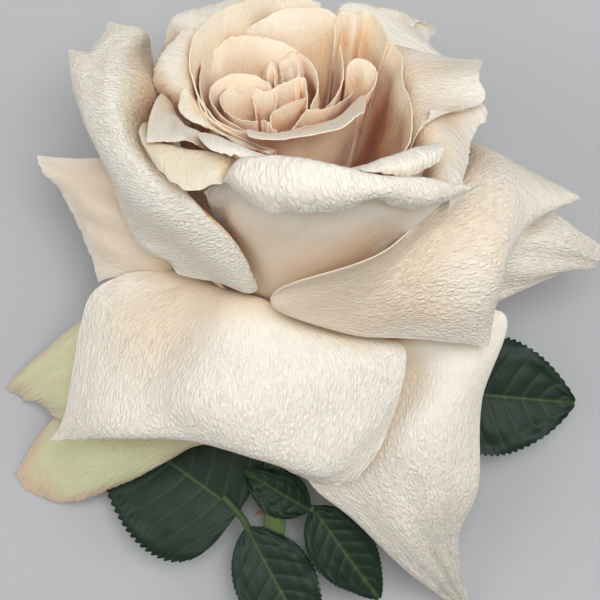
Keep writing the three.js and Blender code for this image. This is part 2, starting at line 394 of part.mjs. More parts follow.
// Round tube along points, with a radius for each
function tube(path, radii, sides) {
  const points = [path[0].clone(), path[path.length - 1].clone()];
  path.forEach((p, j) => {
    const along = path[Math.min(j + 1, path.length - 1)].clone().sub(path[Math.max(j - 1, 0)]).normalize();
    const level = new THREE.Vector3().crossVectors(along, new THREE.Vector3(0, 0, 1)).normalize();
    const up = new THREE.Vector3().crossVectors(level, along);
    for (let k = 0; k < sides; k++) {
      const a = 2 * Math.PI * k / sides;
      points.push(p.clone().addScaledVector(level, radii[j] * Math.cos(a)).addScaledVector(up, radii[j] * Math.sin(a)));
    }
  });
  const at = (j, k) => 2 + j * sides + k % sides;
  const last = path.length - 1;
  const triangles = [];
  for (let k = 0; k < sides; k++) {
    triangles.push([0, at(0, k), at(0, k + 1)], [1, at(last, k + 1), at(last, k)]);
    for (let j = 0; j < last; j++) {
      triangles.push([at(j, k), at(j + 1, k + 1), at(j, k + 1)], [at(j, k), at(j + 1, k), at(j + 1, k + 1)]);
    }
  }
  return geometryFrom(points, triangles);
}

// ---- Stem, hip and calyx
const HIP_PROFILE = [[0, -17.5], [NECK_RADIUS - 0.2, -17], [5.2, -14.5], [7.4, -10.5], [9.4, -6.8], [11.9, -4.2],
  [12.7, -2.9], [7.3, 6], [6.6, 6.5], [0, 6.6]];
const SEPAL_AZIMUTHS = [22, 94, 166, 238, 310];
const SEPAL_ROWS = [[3.4, 6.2, -8], [3.2, 8.9, -12], [2.8, 8.6, -17], [1.9, 7.6, -22], [0.5, 6.8, -27]]; // half width, radius, height

// Centre line of the stem: out of the hip, round to level, then flat along the table
function stemPath() {
  const level = new THREE.Vector3(-AXIS.x, -AXIS.y, 0).normalize();
  const start = bloomPoint([0, 0, NECK_HEIGHT]);
  const dip = Math.asin(AXIS.z);
  const bend = (start.z - STEM_RADIUS) / (1 - Math.cos(dip));
  const path = [];
  for (const share of [0, 0.15, 0.3, 0.45, 0.6, 0.75, 0.9, 1]) {
    const left = dip * (1 - share);
    path.push(new THREE.Vector3(start.x, start.y, STEM_RADIUS + bend * (1 - Math.cos(left)))
      .addScaledVector(level, bend * (Math.sin(dip) - Math.sin(left))));
  }
  for (const share of [0.33, 0.66, 1]) path.push(path[7].clone().addScaledVector(level, STEM_RUN * share));
  return path;
}

// Place between the path's points and side (degrees round the stem, 90 up) of each prickle
const PRICKLES = [[2.4, 150], [4.4, 35], [7.4, 120], [8.4, 60], [9.4, 145], [9.75, 80]];

function prickle(path, [place, side]) {
  const [before, after] = [path[Math.floor(place)], path[Math.ceil(place)]];
  const at = before.clone().lerp(after, place % 1);
  const along = after.clone().sub(before).normalize();
  const level = new THREE.Vector3().crossVectors(along, new THREE.Vector3(0, 0, 1)).normalize();
  const up = new THREE.Vector3().crossVectors(level, along);
  const out = level.clone().multiplyScalar(Math.cos(degrees(side))).addScaledVector(up, Math.sin(degrees(side)));
  const across = new THREE.Vector3().crossVectors(along, out);
  const foot = at.clone().addScaledVector(out, STEM_RADIUS - PRICKLE.sink);
  const corners = [0, 1, 2, 3, 4, 5].map((k) => {
    const a = Math.PI * k / 3;
    return foot.clone().addScaledVector(along, PRICKLE.base * Math.cos(a)).addScaledVector(across, PRICKLE.breadth * Math.sin(a));
  });
  const root = foot.clone().addScaledVector(out, -PRICKLE.sink / 3);
  const tip = foot.clone().addScaledVector(out, PRICKLE.sink + PRICKLE.length).addScaledVector(along, PRICKLE.hook);
  const triangles = [];
  for (let k = 0; k < 6; k++) triangles.push([k, (k + 1) % 6, 6], [(k + 1) % 6, k, 7]);
  return outward(geometryFrom([...corners, tip, root], triangles));
}

// Turns a closed body's faces outward where its corners were listed the other way round
function outward(geometry) {
  const index = [...geometry.getIndex().array];
  const p = geometry.getAttribute('position');
  const corner = (k) => new THREE.Vector3().fromBufferAttribute(p, index[k]);
  let volume = 0;
  for (let k = 0; k < index.length; k += 3) volume += corner(k).dot(corner(k + 1).cross(corner(k + 2)));
  if (volume < 0) {
    for (let k = 0; k < index.length; k += 3) [index[k], index[k + 1]] = [index[k + 1], index[k]];
    geometry.setIndex(index);
  }
  return geometry;
}

function sepal(azimuth) {
  const rows = SEPAL_ROWS.map(([half, radius, height]) => {
    const spread = THREE.MathUtils.radToDeg(half / radius);
    return [-1, 0, 1].map((s) => bloomPoint([azimuth - s * spread, radius, height]));
  });
  return outward(bladeFrom(surfaceGrid(rows, [2, 5]), SEPAL_THICK));
}

function stem() {
  const path = stemPath();
  const radii = path.map((_, j) => (j === 0 ? NECK_RADIUS : STEM_RADIUS));
  return fuse([
    outward(turned(HIP_PROFILE, 18)),
    outward(tube(path, radii, 10)),
    ...PRICKLES.map((place) => prickle(path, place)),
    ...SEPAL_AZIMUTHS.map(sepal),
  ]);
}

// ---- Leaves
// Serrated leaflet from its base to its tip, folded a little along the midrib; a lower waist brings its widest
// part nearer the base, and a lower taper makes its ends rounder
function leaflet({ from, to, width, sag = 1.5, fold = 0.16, teeth = 9, waist = 0.8, taper = 0.75 }) {
  const [a, b] = [tablePoint(from), tablePoint(to)];
  const along = b.clone().sub(a);
  const side = new THREE.Vector3().crossVectors(new THREE.Vector3(0, 0, 1), along).normalize();
  const steps = teeth * 2;
  const grid = [];
  for (let j = 0; j <= steps; j++) {
    const v = j / steps;
    const body = Math.sin(Math.PI * v ** waist) ** taper;
    const half = Math.max(width / 2 * body * (j % 2 ? 1 : TOOTH.notch), LEAF_WAIST);
    const middle = a.clone().addScaledVector(along, v);
    middle.z += sag * Math.sin(Math.PI * v);
    grid.push([1, 0.5, 0, -0.5, -1].map((u) => {
      const p = middle.clone().addScaledVector(side, u * half).addScaledVector(along, u * u * (j % 2 ? TOOTH.point : 0));
      p.z += fold * Math.abs(u) * half - LEAF_CUP * (half * u) ** 2;
      return p;
    }));
  }
  return outward(bladeFrom(grid, LEAF_THICK));
}

function stalk(points, radius) {
  const path = points.map(tablePoint);
  return outward(tube(path, path.map(() => radius), 7));
}

const leaf = ({ stalks, leaflets }) => fuse([...stalks.map((s) => stalk(s.path, s.radius)), ...leaflets.map(leaflet)]);

const LEAVES = {
  leaf_left: {
    stalks: [{ path: [[-6.5, -57.8, -25.6], [-8.4, -56, -23.2], [-10.4, -51.5, -21], [-15, -46, -20.4]], radius: 0.9 }],
    leaflets: [
      { from: [-11.6, -49.4, -20.6], to: [-43, -28, -29], width: 40, waist: 0.58, taper: 0.5 },
      { from: [-9.6, -53.4, -21.4], to: [6, -82, -22.6], width: 19 },
    ],
  },
  leaf_front: {
    stalks: [{ path: [[-1, -49.2, -24.7], [1.4, -48.8, -21], [3.6, -48.4, -17.6], [6, -48.2, -16.4]], radius: 0.9 }],
    leaflets: [
      { from: [5.4, -48, -16.8], to: [21, -70, -23], width: 15 },
      { from: [4.6, -48.4, -16.2], to: [-10, -39.5, -15.6], width: 11, teeth: 5 },
    ],
  },
  leaf_right: {
    stalks: [{ path: [[0.3, -37.6, -21.2], [6, -35.6, -20.2], [20, -28.4, -21], [36, -21, -22.6]], radius: 0.9 }],
    leaflets: [
      { from: [33, -21.6, -22.4], to: [66, -24.6, -22.2], width: 28, sag: 2 },
      { from: [20, -28.6, -20.4], to: [36, -56, -24], width: 18 },
    ],
  },
};

// ---- Assembly
const CREAM = 0xf3e9d8;
const rose = new THREE.Group();
rose.name = 'rose';

function place(name, geometry, color) {
  const mesh = new THREE.Mesh(geometry, new THREE.MeshStandardMaterial({ color, roughness: 0.7 }));
  mesh.name = name;
  rose.add(mesh);
}

for (const [name, rows] of Object.entries(OUTER_PETALS)) place(`petal_${name}`, outward(outerPetal(rows)), CREAM);
for (const [name, shape] of Object.entries(CUP_PETALS)) place(`petal_${name}`, outward(cupPetal(shape)), CREAM);
place('heart', heart(), 0xefcfae);
place('stem', stem(), 0x66803f);
for (const [name, shape] of Object.entries(LEAVES)) place(name, leaf(shape), 0x2f4a34);

export default rose;
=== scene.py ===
"""Dresses the laid-down garden rose.

The solids of the frame give every petal its place and form. Here each one is replaced by a finer sheet of the
same form, with thin rims, folds, crepe-like veins, its own blushing tint and painted shade, and the rose is
set on a pale table.
Lengths are millimetres until a mesh is placed, and azimuths are degrees round the bloom's axis.
"""
from __future__ import annotations

import logging
import math
from dataclasses import dataclass, field
from enum import Enum

import bpy
import numpy as np
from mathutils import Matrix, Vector
from mathutils.bvhtree import BVHTree


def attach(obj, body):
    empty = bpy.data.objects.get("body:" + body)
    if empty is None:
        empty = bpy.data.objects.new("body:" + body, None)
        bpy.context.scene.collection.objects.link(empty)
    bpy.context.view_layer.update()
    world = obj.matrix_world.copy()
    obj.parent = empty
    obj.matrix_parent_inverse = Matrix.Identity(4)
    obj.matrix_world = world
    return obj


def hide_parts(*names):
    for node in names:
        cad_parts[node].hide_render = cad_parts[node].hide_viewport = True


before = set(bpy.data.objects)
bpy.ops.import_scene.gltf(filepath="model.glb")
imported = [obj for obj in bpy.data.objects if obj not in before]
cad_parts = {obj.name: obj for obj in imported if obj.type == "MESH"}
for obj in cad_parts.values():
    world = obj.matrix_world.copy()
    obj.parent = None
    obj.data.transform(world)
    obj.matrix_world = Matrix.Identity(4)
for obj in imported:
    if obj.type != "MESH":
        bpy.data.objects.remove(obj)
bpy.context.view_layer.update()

MM = 0.001
SMOOTH_ANGLE = math.radians(70)
Places = list[list[float]]
Colour = tuple[float, float, float]
log = logging.getLogger("rose")


class Slot(str, Enum):
    """Material slots of the record that the finishes stand for."""

    PETAL = "petal"
    GUARD = "guard_petal"
    HEART = "heart_petal"
    STEM = "green_stem"
    LEAF = "leaf"


# ---- The bloom's own axes and curves


@dataclass(frozen=True)
class BloomAxes:
    """Where the bloom stands and how its axis leans; the same values as the solids are built on."""

    tilt: float = 38.0
    lean: float = 0.05
    base: tuple[float, float, float] = (-2.1, 39.9, 32.1)

    @property
    def axis(self) -> np.ndarray:
        """Unit vector from the receptacle to the heart."""
        tilt = math.radians(self.tilt)
        along = np.array([self.lean, math.cos(tilt), math.sin(tilt)])
        return along / np.linalg.norm(along)

    @property
    def front(self) -> np.ndarray:
        """Unit vector across the axis that leans towards straight up."""
        up = np.array([0.0, 0.0, 1.0]) - self.axis * self.axis[2]
        return up / np.linalg.norm(up)

    @property
    def right(self) -> np.ndarray:
        """Unit vector across the axis, to the right of the bloom."""
        return np.cross(self.axis, self.front)

    def point(self, places: np.ndarray) -> np.ndarray:
        """Turns bloom places into table places.

        Args:
            places: azimuth, radius and height triples, in any array shape that ends in 3.

        Returns:
            Millimetre points of the same shape.
        """
        places = np.asarray(places, float)
        azimuth = np.radians(places[..., 0:1])
        radius, height = places[..., 1:2], places[..., 2:3]
        out = np.cos(azimuth) * self.right + np.sin(azimuth) * self.front
        return np.array(self.base) + height * self.axis + radius * out

    def table_point(self, offsets: np.ndarray) -> np.ndarray:
        """Adds the bloom's base point to table offsets."""
        return np.asarray(offsets, float) + np.array(self.base)


BLOOM = BloomAxes()


def chord_knots(points: np.ndarray) -> np.ndarray:
    """Spaces knots by eased chord length.

    Args:
        points: control points along one line, shape (count, 3).

    Returns:
        Knots from 0 to 1.
    """
    steps = np.maximum(np.linalg.norm(np.diff(points, axis=0), axis=1), 1e-3) ** 0.75
    knots = np.concatenate([[0.0], np.cumsum(steps)])
    return knots / knots[-1]


def spline(points: np.ndarray, knots: np.ndarray, at: np.ndarray) -> np.ndarray:
    """Reads a smooth curve through control points.

    Args:
        points: control points, shape (count, ..., 3), curved along the first axis.
        knots: the knot of each control point.
        at: where to read, from 0 to 1.

    Returns:
        Points of shape (len(at), ..., 3).
    """
    points = np.asarray(points, float)
    tail = (1,) * (points.ndim - 1)
    gaps = np.diff(knots).reshape(-1, *tail)
    slopes = np.diff(points, axis=0) / gaps
    if len(points) == 2:
        tangents = np.concatenate([slopes, slopes])
    else:
        inner = (slopes[:-1] * gaps[1:] + slopes[1:] * gaps[:-1]) / (gaps[:-1] + gaps[1:])
        first = 1.5 * slopes[:1] - 0.5 * inner[:1]
        final = 1.5 * slopes[-1:] - 0.5 * inner[-1:]
        tangents = np.concatenate([first, inner, final])
    i = np.clip(np.searchsorted(knots, at, side="right") - 1, 0, len(points) - 2)
    h = (knots[i + 1] - knots[i]).reshape(-1, *tail)
    s = ((at - knots[i]) / (knots[i + 1] - knots[i])).reshape(-1, *tail)
    return (
        points[i] * (2 * s**3 - 3 * s**2 + 1)
        + tangents[i] * (s**3 - 2 * s**2 + s) * h
        + points[i + 1] * (3 * s**2 - 2 * s**3)
        + tangents[i + 1] * (s**3 - s**2) * h
    )


def surface(rows: list[np.ndarray], u: np.ndarray, v: np.ndarray) -> np.ndarray:
    """Reads the smooth surface through rows of control points.

    Args:
        rows: control rows from the claw to the rim, each from one side to the other.
        u: places across, from 0 to 1.
        v: places along, from 0 to 1.

    Returns:
        Points of shape (len(v), len(u), 3).
    """
    knots_across = [chord_knots(row) for row in rows]
    samples = np.linspace(0, 1, 7)
    read = np.stack([spline(row, k, samples) for row, k in zip(rows, knots_across)])
    knots = np.mean([chord_knots(read[:, k]) for k in range(len(samples))], axis=0)
    columns = np.stack([spline(row, k, u) for row, k in zip(rows, knots_across)])
    return spline(columns, knots, v)


def normals_of(grid: np.ndarray) -> np.ndarray:
    """Gives the unit normal at each point of a grid, from its neighbours."""
    across = np.gradient(grid, axis=1)
    along = np.gradient(grid, axis=0)
    normal = np.cross(across, along)
    return normal / np.maximum(np.linalg.norm(normal, axis=2, keepdims=True), 1e-9)


def smooth(x: np.ndarray | float, low: float, high: float) -> np.ndarray:
    """Rises smoothly from 0 at low to 1 at high, or falls where low is above high."""
    t = np.clip((np.asarray(x, float) - low) / (high - low), 0, 1)
    return t * t * (3 - 2 * t)


def ripple(x: np.ndarray, y: np.ndarray, waves: float, seed: int, octaves: int = 5) -> np.ndarray:
    """Sums seeded waves into a smooth uneven field.

    Args:
        x: first coordinate, about 0 to 1.
        y: second coordinate, about 0 to 1.
        waves: mean number of waves over a length of 1.
        seed: picks the pattern.
        octaves: how many waves are summed.

    Returns:
        Values mostly between -1 and 1.
    """
    draw = np.random.default_rng(seed)
    total = np.zeros(np.broadcast(x, y).shape)
    for _ in range(octaves):
        angle, phase = draw.uniform(0, 2 * math.pi, 2)
        count = waves * draw.uniform(0.6, 1.6)
        total += np.sin(2 * math.pi * count * (x * math.cos(angle) + y * math.sin(angle)) + phase)
    return total / math.sqrt(octaves)


# ---- How petals are described


@dataclass(frozen=True)
class RimSpec:
    """A cup or heart petal: its place on the receptacle, its rim and, where it rolls over, its lip."""

    ring: float
    foot: float
    claw: float
    az: float
    rim: Places
    lip: Places | None = None
    left: float = 0.0
    right: float = 0.0
    tuck: float = 0.0
    roll: float = 1.6


# ---- Control points


@dataclass(frozen=True)
class View:
    """The camera's view, in which the petals' points are set.

    It looks straight down from a distance over the level of the bloom's base, where a pixel covers some
    millimetres. middle is the pixel at its centre, and base is where the bloom's base stands from there.
    """

    distance: float = 300.0
    pixel: float = 0.215
    middle: float = 300.0
    base: tuple[float, float, float] = (-2.6, 0.9, 0.0)


VIEW = View()


@dataclass(frozen=True)
class Over:
    """A point that the view shows at some pixels across and down, at a height over the base's level."""

    across: float
    down: float
    height: float

    def place(self) -> np.ndarray:
        """Works out the point's offset from the bloom's base."""
        scale = VIEW.pixel * (VIEW.distance - self.height) / VIEW.distance
        seen = np.array([(self.across - VIEW.middle) * scale, (VIEW.middle - self.down) * scale, self.height])
        return seen - np.array(VIEW.base)


class Along(Over):
    """A point that the view shows at some pixels across and down, at a height along the bloom's axis."""

    def place(self) -> np.ndarray:
        """Works out the point's offset from the bloom's base."""
        eye = np.array([0.0, 0.0, VIEW.distance])
        level = np.array([self.across - VIEW.middle, VIEW.middle - self.down, 0.0]) * VIEW.pixel
        ray = level - eye
        from_base = eye - np.array(VIEW.base)
        return from_base + ray * ((self.height - from_base @ BLOOM.axis) / (ray @ BLOOM.axis))


@dataclass(frozen=True)
class Round:
    """A hidden point, by azimuth, radius and height on the bloom's axis."""

    azimuth: float
    radius: float
    height: float

    def place(self) -> np.ndarray:
        """Works out the point's offset from the bloom's base."""
        return BLOOM.point(np.array([self.azimuth, self.radius, self.height])) - np.array(BLOOM.base)


Point = Over | Round


def kept(value: float, step: float) -> float:
    """Rounds as the solids' points are rounded: to a tenth of a millimetre or half a degree."""
    return round(round(value / step) * step, 2)


def offsets(row: list[Point]) -> Places:
    """Turns a row of points into offsets from the bloom's base."""
    return [[kept(value, 0.1) for value in point.place()] for point in row]


def around(row: list[Point]) -> np.ndarray:
    """Turns a row into azimuths, radii and heights, where the azimuths run on without a jump."""
    places = np.array([point.place() for point in row])
    right, front, height = places @ BLOOM.right, places @ BLOOM.front, places @ BLOOM.axis
    azimuth = np.degrees(np.unwrap(np.arctan2(front, right)))
    return np.stack([azimuth, np.hypot(right, front), height], axis=1)


def claw(azimuth: float, ring: float, height: float, width: float = 8.0) -> list[Point]:
    """Sets the points of an outer petal's claw, across its place on the receptacle."""
    half = math.degrees(width / 2 / ring)
    return [Round(azimuth + side * half, ring, height) for side in np.linspace(1, -1, 4)]


def rolled(ring: float, foot: float, rim: list[Point], lip: list[Point] | None = None,
           middle: float | None = None, width: float = 7.0, **shape: float) -> RimSpec:
    """Describes a cup or heart petal by the points of its rim and lip.

    Args:
        ring: radius of its place on the receptacle.
        foot: height of that place.
        rim: points from one side to the other.
        lip: points of the edge that rolls over, in the same order.
        middle: azimuth of the claw, where it isn't under the middle of the rim.
        width: width of the claw.
        **shape: left, right, tuck and roll of the RimSpec.

    Returns:
        The petal's description.
    """
    azimuths = around(rim)[:, 0]
    centre = (azimuths[0] + azimuths[-1]) / 2
    if middle is not None:
        centre = middle + 360 * round((centre - middle) / 360)
    rows = [[[kept(value, step) for value, step in zip(place, (0.5, 0.1, 0.1))] for place in around(row)]
            for row in (rim, lip or []) if row]
    return RimSpec(ring, foot, width, kept(centre, 0.01), rows[0], rows[1] if lip else None, **shape)


@dataclass(frozen=True)
class Relief:
    """Fine form laid over a petal's smooth surface, in millimetres out of or along it.

    curl turns the rim out, or in where it is negative. notches are (place, width, depth) bites out of the
    rim, and folds are (from u, from v, to u, to v, width, height) lines over the blade.
    """

    seed: int
    swell: float = 0.35
    wrinkle: float = 0.04
    wrinkle_waves: float = 20.0
    scallop: float = 0.4
    crinkle: float = 0.12
    curl: float = 0.0
    notches: tuple[tuple[float, float, float], ...] = ()
    folds: tuple[tuple[float, float, float, float, float, float], ...] = ()


@dataclass(frozen=True)
class Tints:
    """How strongly a petal takes each colour, from 0 to 1.

    blush warms the blade from the claw up to blush_and_shade_to of its length, partly the petal's own
    blushing tint and partly painted shade where it lies in shade; green tints it from the rim in, edge pales
    its rim or, on a guard petal, reddens it, and crepe is how strongly its veins stand out, from crepe_from
    of its length on. shade_patches are (u, v, half width, half length, strength) places of painted shade that
    take more of the same tint.
    """

    blush: float = 0.35
    blush_and_shade_to: float = 0.8
    green: float = 0.0
    green_from: float = 0.5
    edge: float = 0.5
    crepe: float = 1.0
    crepe_from: float = 0.1
    shade_patches: tuple[tuple[float, float, float, float, float], ...] = ()


# ---- Meshes


def coordinates(mesh: bpy.types.Mesh) -> np.ndarray:
    """Reads the places of a mesh's vertices, in metres."""
    flat = np.zeros(len(mesh.vertices) * 3)
    mesh.vertices.foreach_get("co", flat)
    return flat.reshape(-1, 3)


def move_to(mesh: bpy.types.Mesh, places: np.ndarray) -> None:
    """Moves a mesh's vertices to places in millimetres."""
    mesh.vertices.foreach_set("co", (places * MM).ravel())


def lay_mask(mesh: bpy.types.Mesh, label: str, values: np.ndarray | float) -> None:
    """Writes a mask on a mesh, one strength for each vertex or one for them all."""
    layer = mesh.attributes.new(label, "FLOAT", "POINT")
    layer.data.foreach_set("value", np.full(len(mesh.vertices), values, dtype=np.float32))


def named(name: str) -> bpy.types.Object:
    """Names the primitive that was just added."""
    piece = bpy.context.object
    piece.name = name
    return piece


# ---- Sheets


@dataclass
class Sheet:
    """A thin curved blade read off a grid of points."""

    name: str
    grid: np.ndarray
    thickness: float
    rim_share: float = 0.4
    masks: dict[str, np.ndarray] = field(default_factory=dict)

    def build(self) -> bpy.types.Object:
        """Models the blade.

        Returns:
            The finished object, at the origin, with its vein map and masks.
        """
        along, across = self.grid.shape[:2]
        bpy.ops.mesh.primitive_grid_add(x_subdivisions=across - 1, y_subdivisions=along - 1, size=1.0)
        blade = named(self.name)
        mesh = blade.data
        mesh.name = self.name
        start = coordinates(mesh)
        column = np.rint((start[:, 0] + 0.5) * (across - 1)).astype(int)
        row = np.rint((start[:, 1] + 0.5) * (along - 1)).astype(int)
        move_to(mesh, self.grid[row, column])
        self._lay_vein_map(mesh, row, column)
        for label, values in self.masks.items():
            lay_mask(mesh, label, values[row, column])
        self._thicken(blade, row, column)
        mesh.update()
        return blade

    def _lay_vein_map(self, mesh: bpy.types.Mesh, row: np.ndarray, column: np.ndarray) -> None:
        """Lays a map in millimetres, across from the middle and along from the claw."""
        across = np.linalg.norm(np.diff(self.grid, axis=1), axis=2).sum(axis=1).mean()
        along = np.linalg.norm(np.diff(self.grid, axis=0), axis=2).sum(axis=0).mean()
        x = (column / (self.grid.shape[1] - 1) - 0.5) * across
        y = row / (self.grid.shape[0] - 1) * along
        corners = np.zeros(len(mesh.loops), dtype=int)
        mesh.loops.foreach_get("vertex_index", corners)
        layer = mesh.uv_layers.active
        layer.name = "vein_map"
        layer.data.foreach_set("uv", np.stack([x[corners], y[corners]], axis=1).ravel())

    def _thicken(self, blade: bpy.types.Object, row: np.ndarray, column: np.ndarray) -> None:
        """Gives the blade its thickness, thinner at the rim, and smooth faces."""
        along, across = self.grid.shape[:2]
        body = blade.vertex_groups.new(name="body")
        edge = np.minimum(np.minimum(column, across - 1 - column), along - 1 - row)
        share = self.rim_share
        for inset, weight in ((0, share), (1, (1 + 2 * share) / 3), (2, (2 + share) / 3)):
            body.add(np.nonzero(edge == inset)[0].tolist(), weight, "REPLACE")
        body.add(np.nonzero(edge > 2)[0].tolist(), 1.0, "REPLACE")
        wall = blade.modifiers.new("wall", "SOLIDIFY")
        wall.thickness = self.thickness * MM
        wall.offset = 0.0
        wall.vertex_group = "body"
        wall.thickness_vertex_group = 0.0
        bpy.ops.object.modifier_apply(modifier="wall")
        blade.vertex_groups.clear()
        bpy.ops.object.shade_smooth_by_angle(angle=SMOOTH_ANGLE)


def cup_rows(spec: RimSpec, first_follow: float = 0.62) -> list[np.ndarray]:
    """Works out a cup petal's control rows: the claw on its ring, the flaring wall, the rim and the lip.

    Args:
        spec: the petal.
        first_follow: how far the foot of the wall already reaches round below its rim.

    Returns:
        Control rows in millimetres, from the claw to the edge.
    """
    reference, shares = 50.0, (0.22, 0.5, 0.78)
    quarter = 0.4 * math.pi

    def flare(share: np.ndarray) -> np.ndarray:
        return np.sin(np.clip(share, 0, 1.35) * quarter) / math.sin(quarter)

    rim = np.array(spec.rim, float)
    last = len(rim) - 1
    place = np.arange(last + 1) / last
    half_claw = math.degrees(spec.claw / 2 / spec.ring)
    side = (1 - 2 * place) * (1 if rim[0, 0] > rim[-1, 0] else -1)
    ring, foot = np.full(last + 1, spec.ring), np.full(last + 1, spec.foot)
    rows = [BLOOM.point(np.stack([spec.az + half_claw * side, ring, foot], axis=1))]
    azimuth, radius, height = rim.T
    top = (height - foot) / (reference - foot)
    for share in shares:
        bulge = math.sin(math.pi * share)
        follow = first_follow + (1 - first_follow) * math.sin(share * math.pi / 2)
        lean_left = spec.left * (1 - place) ** 2 * math.sin(math.pi * min(share * 1.15, 1))
        lean_right = spec.right * place**2 * bulge
        a = spec.az + (azimuth - spec.az) * follow + lean_left - lean_right
        r = ring + (radius - ring) / flare(top) * flare(top * share) * (1 - spec.tuck * bulge)
        rows.append(BLOOM.point(np.stack([a, r, foot + (height - foot) * share], axis=1)))
    rows.append(BLOOM.point(rim))
    if spec.lip is not None:
        edge = BLOOM.point(np.array(spec.lip, float))
        middle = (rows[-1] + edge) / 2
        out = middle - np.array(BLOOM.base)
        out -= (out @ BLOOM.axis)[:, None] * BLOOM.axis
        out = out / np.linalg.norm(out, axis=1, keepdims=True) + 0.6 * BLOOM.axis
        out /= np.linalg.norm(out, axis=1, keepdims=True)
        reach = np.minimum(spec.roll, 0.35 * np.linalg.norm(rows[-1] - edge, axis=1))
        rows += [middle + out * reach[:, None], edge]
    return rows


class ShadePainter:
    """Tells how far each face of a petal is sheltered by the petals round it, for painted shade: its colour
    turns warmer and darker the more it is sheltered.
    """

    rays = 96
    reach = 45.0
    table_share = 0.45
    coarse = (18, 16)
    thinned = 28
    clearance = 0.7

    def __init__(self, grids: list[np.ndarray]) -> None:
        """Gathers every petal.

        Args:
            grids: the petals' points in millimetres.
        """
        points, faces = [], []
        for grid in grids:
            step = [max(1, count // self.thinned) for count in grid.shape[:2]]
            thin = grid[:: step[0], :: step[1]]
            height, width = thin.shape[:2]
            first = len(points)
            points += [tuple(p) for p in thin.reshape(-1, 3)]
            for j in range(height - 1):
                for i in range(width - 1):
                    a = first + j * width + i
                    faces.append((a, a + 1, a + width + 1, a + width))
        self.tree = BVHTree.FromPolygons(points, faces)
        turn = np.arange(self.rays) * math.pi * (3 - math.sqrt(5))
        z = 1 - (2 * np.arange(self.rays) + 1) / self.rays
        flat = np.sqrt(1 - z * z)
        self.directions = np.stack([flat * np.cos(turn), flat * np.sin(turn), z], axis=1)

    def _open_share(self, point: np.ndarray, normal: np.ndarray) -> tuple[float, float]:
        """Gives the open share of the sky on both sides of a point."""
        facing = self.directions @ normal
        light = np.where(self.directions[:, 2] < 0, self.table_share, 1.0)
        clear = np.zeros(self.rays)
        for k, direction in enumerate(self.directions):
            side = self.clearance if facing[k] > 0 else -self.clearance
            hit = self.tree.ray_cast(Vector(point + normal * side), Vector(direction), self.reach)
            clear[k] = 1.0 if hit[0] is None else 0.0
        front, back = np.maximum(facing, 0), np.maximum(-facing, 0)
        seen = clear * light
        return float((seen * front).sum() / front.sum()), float((seen * back).sum() / back.sum())

    def mark(self, blade: bpy.types.Object, grid: np.ndarray) -> None:
        """Writes the painted shade mask on both faces of a blade.

        Args:
            blade: the finished blade.
            grid: the points it was laid on.
        """
        rows, columns = grid.shape[:2]
        v = np.linspace(0, rows - 1, self.coarse[1]).round().astype(int)
        u = np.linspace(0, columns - 1, self.coarse[0]).round().astype(int)
        normal = normals_of(grid)
        shares = np.array([[self._open_share(grid[j, i], normal[j, i]) for i in u] for j in v])
        mesh = blade.data
        half = len(mesh.vertices) // 2
        values = np.zeros(len(mesh.vertices), dtype=np.float32)
        fine_u, fine_v = np.arange(columns), np.arange(rows)
        laid = coordinates(mesh) / MM
        for first in (0, half):
            part = laid[first : first + half]
            outward = ((part - grid.reshape(-1, 3)) * normal.reshape(-1, 3)).sum()
            side = shares[..., 0 if outward > 0 else 1]
            across = np.stack([np.interp(fine_u, u, row) for row in side])
            full = np.stack([np.interp(fine_v, v, column) for column in across.T], axis=1)
            values[first : first + half] = 1 - full.reshape(-1)
        lay_mask(mesh, "painted_shade", values)


